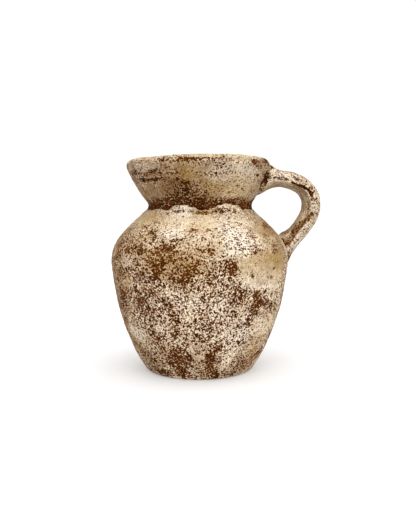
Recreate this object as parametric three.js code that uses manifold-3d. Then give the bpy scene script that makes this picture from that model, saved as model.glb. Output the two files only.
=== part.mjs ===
// A hand-built terracotta jug vase: a round floor slab, a bellied wall made in
// two luted sections, a flared neck with a thickened rim, and one broad strap
// handle from the rim to the shoulder. Every clay section is a solid of its
// own, and the slip that lutes two sections together is a solid too.
//
// Millimetres, +Z up. The origin is the middle of the flat underside, and the
// handle lies along +X.
import * as THREE from "three";
import { mergeVertices } from "three/addons/utils/BufferGeometryUtils.js";
import Module from "manifold-3d";

const wasm = await Module();
wasm.setup();

// ---------------------------------------------------------------- dimensions
const HEIGHT = 216; // table to the top of the rim
const SEGMENTS = 48; // facets round the pot
const GAP = 0.3; // clearance kept between two clay sections
const SLIP = 1.2; // thickness of a layer of luting slip
const WALL = 7.2; // wall of the belly and the shoulder
const NECK_WALL = 6.8; // wall of the neck
const FLOOR = 9.0; // thickness of the floor slab
const FOOT_R = 53.0; // radius of the flat underside
const LIP_R = 4.1; // rounding of the rim's top
const BELLY_JOINT_Z = 112; // height of the luted joint at the widest place
const NECK_JOINT_Z = 168.4; // height of the joint between shoulder and neck
const RIM_JOINT_Z = 202.6; // height of the joint between neck and rim
const GROOVE_LOW_Z = 161.4; // the groove round the neck joint begins here
const GROOVE_HIGH_Z = 176.0; // and ends here
const GROOVE = 2.2; // depth of the groove at its two edges

// Outside of the pot as radius and height, from just over the foot to the rim.
const OUTER = [
  [58.2, 4], [63.3, 12], [67.7, 20], [72.3, 30], [76.4, 40], [80.0, 50],
  [83.1, 60], [85.6, 70], [87.7, 80], [89.5, 90], [91.2, 101], [92.3, 110],
  [92.4, 114], [91.9, 120], [90.6, 126], [88.3, 131.5], [85.0, 137.5],
  [80.4, 143], [75.0, 149], [69.2, 154.7], [63.6, 159.6], [59.3, 163],
  [56.2, 166], [54.5, 169], [54.1, 171], [54.6, 173.2], [56.2, 175.9],
  [59.4, 180], [62.8, 185], [66.0, 190], [69.0, 195], [71.8, 200],
  [74.1, 205], [75.6, 209], [76.0, 212],
];

// Middle line of the handle in the XZ plane: x, z, half thickness in that
// plane, half width across it. Both ends run into the wall and are cut there.
const HANDLE = [
  [61.0, 198.8, 13.6, 20.5], [69.0, 199.6, 13.0, 20.5],
  [76.5, 199.7, 11.2, 19.0], [86.0, 198.5, 8.6, 16.6],
  [97.1, 196.2, 8.5, 15.3], [106.9, 191.9, 8.2, 14.8],
  [113.0, 186.0, 8.1, 14.7], [116.4, 179.1, 8.1, 14.7],
  [117.5, 171.5, 8.1, 14.6], [116.4, 164.2, 8.1, 14.5],
  [113.3, 156.8, 8.2, 14.4], [108.7, 149.9, 8.4, 14.3],
  [102.9, 142.7, 8.7, 14.3], [96.5, 135.5, 9.2, 14.5],
  [90.2, 128.4, 10.2, 14.8], [82.6, 120.6, 11.6, 15.0],
];
const HANDLE_STEPS = 30;
const HANDLE_SIDES = 16;
const HANDLE_SQUARENESS = 2.7; // 2 is an ellipse, more is squarer

// ----------------------------------------------------------------- materials
const clay = (color, roughness) =>
  new THREE.MeshStandardMaterial({ color, roughness, metalness: 0 });
const WASHED_CLAY = clay(0xcdb894, 0.93);
const RAW_CLAY = clay(0x8a5230, 0.9);
const SLIP_CLAY = clay(0x7a4526, 0.95);

// ------------------------------------------------------------------- profile
const profile = new THREE.SplineCurve(
  OUTER.map(([r, z]) => new THREE.Vector2(r, z)),
);

// The place on the outside at a height, as a share of the profile's length.
function shareAt(z) {
  let low = 0;
  let high = 1;
  for (let i = 0; i < 40; i++) {
    const mid = (low + high) / 2;
    if (profile.getPointAt(mid).y < z) low = mid;
    else high = mid;
  }
  return (low + high) / 2;
}

// A point of the outside moved along its normal: positive is outwards.
function offsetAt(share, distance) {
  const p = profile.getPointAt(share);
  const t = profile.getTangentAt(share);
  return new THREE.Vector2(p.x + t.y * distance, p.y - t.x * distance);
}

function run(fromZ, toZ, steps, distance) {
  const a = shareAt(fromZ);
  const b = shareAt(toZ);
  return Array.from({ length: steps + 1 }, (_, i) =>
    offsetAt(a + ((b - a) * i) / steps, distance),
  );
}

// ------------------------------------------------------------------- helpers
// Turns a closed outline round the pot's axis. The lathe spins about +Y, so
// the result is stood up on +Z.
function ring(points) {
  const geometry = new THREE.LatheGeometry([...points, points[0]], SEGMENTS);
  geometry.rotateX(Math.PI / 2);
  return geometry;
}

function solid(geometry) {
  const g = geometry.clone();
  g.deleteAttribute("normal");
  g.deleteAttribute("uv");
  const merged = mergeVertices(g, 1e-3);
  const triVerts = new Uint32Array(merged.index.array);
  const make = (t) =>
    new wasm.Manifold(
      new wasm.Mesh({
        numProp: 3,
        vertProperties: new Float32Array(merged.attributes.position.array),
        triVerts: t,
      }),
    );
  const made = make(triVerts);
  if (made.volume() > 0) return made;
  for (let i = 0; i < triVerts.length; i += 3)
    [triVerts[i + 1], triVerts[i + 2]] = [triVerts[i + 2], triVerts[i + 1]];
  return make(triVerts);
}

function geometryOf(manifold) {
  const mesh = manifold.getMesh();
  const flat = new Float32Array(mesh.numVert * 3);
  for (let i = 0; i < mesh.numVert; i++)
    for (let k = 0; k < 3; k++)
      flat[i * 3 + k] = mesh.vertProperties[i * mesh.numProp + k];
  const g = new THREE.BufferGeometry();
  g.setAttribute("position", new THREE.BufferAttribute(flat, 3));
  g.setIndex(new THREE.BufferAttribute(new Uint32Array(mesh.triVerts), 1));
  g.computeVertexNormals();
  return g;
}

// The whole pot as one filled solid, grown by a distance, to trim the handle.
function filledPot(distance) {
  const side = run(4, 212, 52, distance);
  const points = [
    new THREE.Vector2(0, -2),
    new THREE.Vector2(FOOT_R, -2),
    ...side,
    new THREE.Vector2(74.5 + distance, 215 + distance),
    new THREE.Vector2(0, HEIGHT + 2),
  ];
  const geometry = new THREE.LatheGeometry(points, SEGMENTS);
  geometry.rotateX(Math.PI / 2);
  return solid(geometry);
}

// A stretch of the handle, swept along its middle line. shrink makes the
// section a little smaller all round.
const handleLine = new THREE.CatmullRomCurve3(
  HANDLE.map(([x, z]) => new THREE.Vector3(x, 0, z)),
);
function handleSize(t, column) {
  const at = t * (HANDLE.length - 1);
  const i = Math.min(Math.floor(at), HANDLE.length - 2);
  const f = at - i;
  const s = f * f * (3 - 2 * f);
  return HANDLE[i][column] * (1 - s) + HANDLE[i + 1][column] * s;
}
function handleSolid(from, to, steps, shrink) {
  const geometry = new THREE.CylinderGeometry(
    1, 1, 1, HANDLE_SIDES, steps, false,
  );
  const position = geometry.attributes.position;
  const v = new THREE.Vector3();
  const power = 2 / HANDLE_SQUARENESS;
  const bend = (x) => Math.sign(x) * Math.pow(Math.abs(x), power);
  for (let i = 0; i < position.count; i++) {
    v.fromBufferAttribute(position, i);
    const t = from + (to - from) * (v.y + 0.5);
    const middle = handleLine.getPoint(t);
    const along = handleLine.getTangent(t);
    const thick = bend(v.x) * (handleSize(t, 2) - shrink);
    const wide = bend(v.z) * (handleSize(t, 3) - shrink);
    position.setXYZ(
      i,
      middle.x + along.z * thick,
      wide,
      middle.z - along.x * thick,
    );
  }
  return solid(geometry);
}

const vase = new THREE.Group();
function piece(name, geometry, material) {
  const mesh = new THREE.Mesh(geometry, material);
  mesh.name = name;
  vase.add(mesh);
}

// --------------------------------------------------------------- floor slab
const floorTopR = offsetAt(shareAt(FLOOR), 0).x;
const floorGeometry = new THREE.LatheGeometry(
  [
    new THREE.Vector2(0, 0),
    new THREE.Vector2(FOOT_R, 0),
    new THREE.Vector2(55.6, 1.1),
    new THREE.Vector2(58.2, 4),
    new THREE.Vector2(floorTopR, FLOOR),
    new THREE.Vector2(0, FLOOR),
  ],
  SEGMENTS,
);
floorGeometry.rotateX(Math.PI / 2);
piece("floor_disc", geometryOf(solid(floorGeometry)), WASHED_CLAY);

// The slip between the floor's edge and the wall that stands on it.
const wallFoot = FLOOR + GAP + SLIP + GAP;
const footR = offsetAt(shareAt(wallFoot), 0).x;
const footInnerR = footR - 9.2;
piece(
  "floor_slip_ring",
  geometryOf(
    solid(
      ring([
        new THREE.Vector2(footInnerR + 0.6, FLOOR + GAP),
        new THREE.Vector2(footR - 0.9, FLOOR + GAP),
        new THREE.Vector2(footR - 0.9, FLOOR + GAP + SLIP),
        new THREE.Vector2(footInnerR + 0.6, FLOOR + GAP + SLIP),
      ]),
    ),
  ),
  SLIP_CLAY,
);

// ---------------------------------------------------------------- belly wall
const slipHalf = SLIP / 2;
const bellyOuter = run(wallFoot, BELLY_JOINT_Z - slipHalf - GAP, 9, 0);
const bellyInner = run(20, BELLY_JOINT_Z - slipHalf - GAP, 6, -WALL);
piece(
  "belly_wall",
  geometryOf(
    solid(
      ring([
        new THREE.Vector2(footInnerR, wallFoot),
        ...bellyOuter,
        ...bellyInner.reverse(),
      ]),
    ),
  ),
  WASHED_CLAY,
);

piece(
  "belly_slip_ring",
  geometryOf(
    solid(
      ring([
        ...[-slipHalf, slipHalf].map((h) =>
          offsetAt(shareAt(BELLY_JOINT_Z + h), -0.5),
        ),
        ...[slipHalf, -slipHalf].map((h) =>
          offsetAt(shareAt(BELLY_JOINT_Z + h), -WALL + 0.5),
        ),
      ]),
    ),
  ),
  SLIP_CLAY,
);

// ------------------------------------------------------------- shoulder wall
// Its top is the seat for the neck. The groove left outside, with a blunt edge,
// is filled by the coil of slip further down.
const shoulderOuter = run(BELLY_JOINT_Z + slipHalf + GAP, GROOVE_LOW_Z, 9, 0);
const shoulderInner = run(BELLY_JOINT_Z + slipHalf + GAP, 160.0, 6, -WALL);
piece(
  "shoulder_wall",
  geometryOf(
    solid(
      ring([
        ...shoulderOuter,
        offsetAt(shareAt(GROOVE_LOW_Z), -GROOVE),
        new THREE.Vector2(51.4, NECK_JOINT_Z - GAP / 2),
        new THREE.Vector2(46.6, NECK_JOINT_Z - GAP / 2),
        new THREE.Vector2(47.2, 164.0),
        ...shoulderInner.reverse(),
      ]),
    ),
  ),
  WASHED_CLAY,
);

// -------------------------------------------------------- coil at the neck
const coilLow = GROOVE_LOW_Z + 0.35;
const coilHigh = GROOVE_HIGH_Z - 0.5;
piece(
  "neck_slip_coil",
  geometryOf(
    solid(
      ring([
        ...run(coilLow, coilHigh, 7, 0),
        offsetAt(shareAt(coilHigh), -GROOVE + 0.4),
        new THREE.Vector2(51.9, NECK_JOINT_Z),
        offsetAt(shareAt(coilLow), -GROOVE + 0.4),
      ]),
    ),
  ),
  RAW_CLAY,
);

// ----------------------------------------------------------------- the neck
const neckOuter = run(GROOVE_HIGH_Z, RIM_JOINT_Z - GAP / 2, 5, 0);
const neckInner = run(176.0, RIM_JOINT_Z - GAP / 2, 4, -NECK_WALL);
piece(
  "neck_collar",
  geometryOf(
    solid(
      ring([
        new THREE.Vector2(46.6, NECK_JOINT_Z + GAP / 2),
        new THREE.Vector2(51.4, NECK_JOINT_Z + GAP / 2),
        offsetAt(shareAt(GROOVE_HIGH_Z), -GROOVE),
        ...neckOuter,
        ...neckInner.reverse(),
        new THREE.Vector2(46.9, 174.5),
      ]),
    ),
  ),
  WASHED_CLAY,
);

// ------------------------------------------------------------------- the rim
const lipMiddle = new THREE.Vector2(76.0 - LIP_R, HEIGHT - LIP_R);
const lip = Array.from({ length: 8 }, (_, i) => {
  const a = (Math.PI * i) / 7;
  return new THREE.Vector2(
    lipMiddle.x + LIP_R * Math.cos(a),
    lipMiddle.y + LIP_R * Math.sin(a),
  );
});
const rimFoot = shareAt(RIM_JOINT_Z + GAP / 2);
piece(
  "rim_band",
  geometryOf(
    solid(
      ring([
        offsetAt(rimFoot, 0),
        ...run(RIM_JOINT_Z + 2.0, 210.4, 3, 0),
        ...lip,
        offsetAt(rimFoot, -NECK_WALL),
      ]),
    ),
  ),
  WASHED_CLAY,
);

// ---------------------------------------------------------------- the handle
const trim = filledPot(GAP + SLIP + GAP);
piece(
  "handle_strap",
  geometryOf(handleSolid(0, 1, HANDLE_STEPS, 0).subtract(trim)),
  WASHED_CLAY,
);

// The slip under each end of the handle lies on the pot like a thin tile.
const slipOut = filledPot(GAP + SLIP);
const slipIn = filledPot(GAP);
const slipTile = (from, to) =>
  handleSolid(from, to, 8, 1.4).intersect(slipOut).subtract(slipIn);
piece("handle_upper_slip", geometryOf(slipTile(0, 0.3)), SLIP_CLAY);
piece("handle_lower_slip", geometryOf(slipTile(0.75, 1)), SLIP_CLAY);

export default vase;
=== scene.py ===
import math

import bpy
import numpy as np
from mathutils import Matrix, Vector


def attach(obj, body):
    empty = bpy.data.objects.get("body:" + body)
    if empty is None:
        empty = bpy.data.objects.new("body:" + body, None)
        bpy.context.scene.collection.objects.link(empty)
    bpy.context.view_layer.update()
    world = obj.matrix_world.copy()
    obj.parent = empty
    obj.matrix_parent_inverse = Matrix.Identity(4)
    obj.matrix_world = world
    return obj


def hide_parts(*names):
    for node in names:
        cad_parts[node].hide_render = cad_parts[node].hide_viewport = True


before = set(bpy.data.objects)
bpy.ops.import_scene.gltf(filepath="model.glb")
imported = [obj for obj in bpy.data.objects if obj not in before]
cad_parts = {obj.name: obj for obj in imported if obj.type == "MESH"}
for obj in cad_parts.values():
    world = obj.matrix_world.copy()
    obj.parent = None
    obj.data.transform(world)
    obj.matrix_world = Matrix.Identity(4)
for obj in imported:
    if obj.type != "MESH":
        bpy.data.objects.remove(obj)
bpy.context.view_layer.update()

AROUND = 448  # columns round the pot
STEP = 1.0  # distance between two rows on the outside
rng = np.random.default_rng(20261)


# ------------------------------------------------------------------ small maths
def smooth(a, b, x):
    t = np.clip((x - a) / (b - a), 0.0, 1.0)
    return t * t * (3 - 2 * t)


def bell(x, middle, half):
    return np.exp(-(((x - middle) / half) ** 2))


def turn(a, b):
    """The angle from b to a in degrees, between -180 and 180."""
    return (a - b + 180.0) % 360.0 - 180.0


def lattice(ix, iy, iz, seed):
    h = (
        ix.astype(np.uint32) * np.uint32(374761393)
        + iy.astype(np.uint32) * np.uint32(668265263)
        + iz.astype(np.uint32) * np.uint32(2246822519)
        + np.uint32((seed * 3266489917) & 0xFFFFFFFF)
    )
    h = (h ^ (h >> np.uint32(15))) * np.uint32(2246822519)
    h = (h ^ (h >> np.uint32(13))) * np.uint32(3266489917)
    h = h ^ (h >> np.uint32(16))
    return h.astype(np.float64) / 2147483648.0 - 1.0


def noise(p, size, seed):
    """Smooth noise from -1 to 1 with cells of the given size."""
    q = p / size
    base = np.floor(q)
    f = q - base
    f = f * f * f * (f * (f * 6 - 15) + 10)
    i = base.astype(np.int64)
    total = 0.0
    for dx in (0, 1):
        wx = f[:, 0] if dx else 1 - f[:, 0]
        for dy in (0, 1):
            wy = f[:, 1] if dy else 1 - f[:, 1]
            for dz in (0, 1):
                wz = f[:, 2] if dz else 1 - f[:, 2]
                total = total + wx * wy * wz * lattice(
                    i[:, 0] + dx, i[:, 1] + dy, i[:, 2] + dz, seed
                )
    return total


def cloud(p, size, seed, octaves=3):
    total, weight, amount = 0.0, 1.0, 0.0
    for k in range(octaves):
        total = total + weight * noise(p, size / 2**k, seed + 17 * k)
        amount += weight
        weight *= 0.55
    return total / amount * 1.5


# Each grain of the wash has a number: an even spread from grain to grain, and a rough
# one within it. The table says what share of the surface lies under each number.
EVEN, ROUGH = 0.28, 0.06
_number = np.linspace(0.0, 1.0, 501)
_under = np.array(
    [
        sum(math.erf((v - 0.5 - EVEN * (k / 60 - 0.5)) / (ROUGH * math.sqrt(2))) for k in range(61)) / 122 + 0.5
        for v in _number
    ]
)


def level(share):
    """The number that the given share of the surface lies above."""
    return np.interp(1 - np.clip(share, 0.002, 0.998), _under, _number)


def catmull(points, each=14):
    p = np.array(points, float)
    p = np.vstack([2 * p[0] - p[1], p, 2 * p[-1] - p[-2]])
    out = []
    for i in range(1, len(p) - 2):
        a, b, c, d = p[i - 1], p[i], p[i + 1], p[i + 2]
        for t in np.arange(each) / each:
            out.append(
                0.5
                * (
                    2 * b
                    + (c - a) * t
                    + (2 * a - 5 * b + 4 * c - d) * t**2
                    + (3 * b - a - 3 * c + d) * t**3
                )
            )
    out.append(p[-2])
    return np.array(out)


# --------------------------------------------------------------------- profiles
OUTER = [
    (52.0, 0.0), (54.8, 0.5), (56.7, 1.8), (58.3, 4.0), (63.3, 12), (67.7, 20),
    (72.3, 30), (76.4, 40), (80.0, 50), (83.1, 60), (85.6, 70), (87.7, 80),
    (89.5, 90), (91.2, 101), (92.3, 110), (92.4, 114), (91.9, 120), (90.6, 126),
    (88.3, 131.5), (85.0, 137.5), (80.4, 143), (75.0, 149), (69.2, 154.7),
    (63.6, 159.6), (59.3, 163), (56.2, 166), (54.5, 169), (54.1, 171),
    (54.6, 173.2), (56.2, 175.9), (59.4, 180), (62.8, 185), (66.0, 190),
    (69.0, 195), (71.8, 200), (74.1, 205), (75.5, 208.8), (75.9, 211.9),
]
INNER = [
    (40.0, 9.0), (48.5, 9.8), (54.2, 13.2), (59.4, 20), (64.2, 30), (68.6, 40),
    (72.4, 50), (75.6, 60), (78.2, 70), (80.4, 80), (82.2, 90), (83.9, 101),
    (85.0, 110), (85.1, 114.5), (84.5, 119.5), (83.0, 125), (80.6, 130),
    (77.3, 135), (73.0, 140), (68.0, 145), (62.5, 150), (57.0, 155),
    (52.3, 159.5), (48.8, 164), (47.0, 168), (46.8, 171.5), (47.6, 175),
    (49.8, 178.6), (53.0, 183), (56.5, 188), (60.0, 193.3), (63.0, 198.5),
    (65.6, 203.8), (67.2, 208.2), (67.8, 211.9),
]
outer_line = catmull(OUTER)
inner_line = catmull(INNER)


def outer_radius(z):
    return np.interp(z, outer_line[:, 1], outer_line[:, 0])


def cut(line, low, high, step):
    """Points along a profile between two heights, evenly spaced."""
    z = line[:, 1]
    keep = (z > low) & (z < high)
    ends = [
        np.array([np.interp(h, z, line[:, 0]), h]) for h in (low, high)
    ]
    p = np.vstack([ends[0], line[keep], ends[1]])
    d = np.concatenate([[0], np.cumsum(np.hypot(*np.diff(p, axis=0).T))])
    at = np.linspace(0, d[-1], max(2, int(round(d[-1] / step)) + 1))
    return np.stack([np.interp(at, d, p[:, 0]), np.interp(at, d, p[:, 1])], 1)


def lip(count):
    a = np.linspace(0, math.pi, count)
    return np.stack([71.85 + 4.05 * np.cos(a), 211.9 + 4.1 * np.sin(a)], 1)


# ------------------------------------------------------- where the wash sits
# Places are an angle round the pot (0 is the handle, -90 the front) and a height.
# The wash's upper edge at the neck, in lobes: middle, half width, rise.
LOBES = [
    (-109, 12, 5.0), (-98, 6, 2.8), (-75, 6, 2.2), (-69, 6, 4.4), (-61, 9, 6.8), (-53, 9.5, 5.0),
    (-30, 12, 1.6), (4, 14, 1.8), (38, 15, 5.2), (74, 9, 2.6),
    (104, 14, 5.6), (139, 12, 3.8), (168, 10, 1.6), (-160, 12, 1.2), (-138, 8, 1.8),
]


def wash_edge(theta, p):
    """Height of the wash's edge at the neck."""
    z = np.full(theta.shape, 164.8)
    for middle, half, rise in LOBES:
        z = np.maximum(z, 164.8 + rise * np.exp(-((turn(theta, middle) / half) ** 4)))
    flat = p * np.array([1, 1, 0.25])
    return z + 0.6 * cloud(flat, 9, 41, 2) + 0.3 * noise(flat, 3, 43)


def neck_edge(theta, p):
    """Height where the wash of the neck begins again, over the brown groove."""
    flat = p * np.array([1, 1, 0.25])
    return 176.4 + 1.6 * cloud(flat, 12, 47, 3) + 2.6 * bell(turn(theta, -108), 0, 28)


CHANNELS = ("cover", "tan", "white", "grey", "ochre", "speck", "rust")

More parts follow.
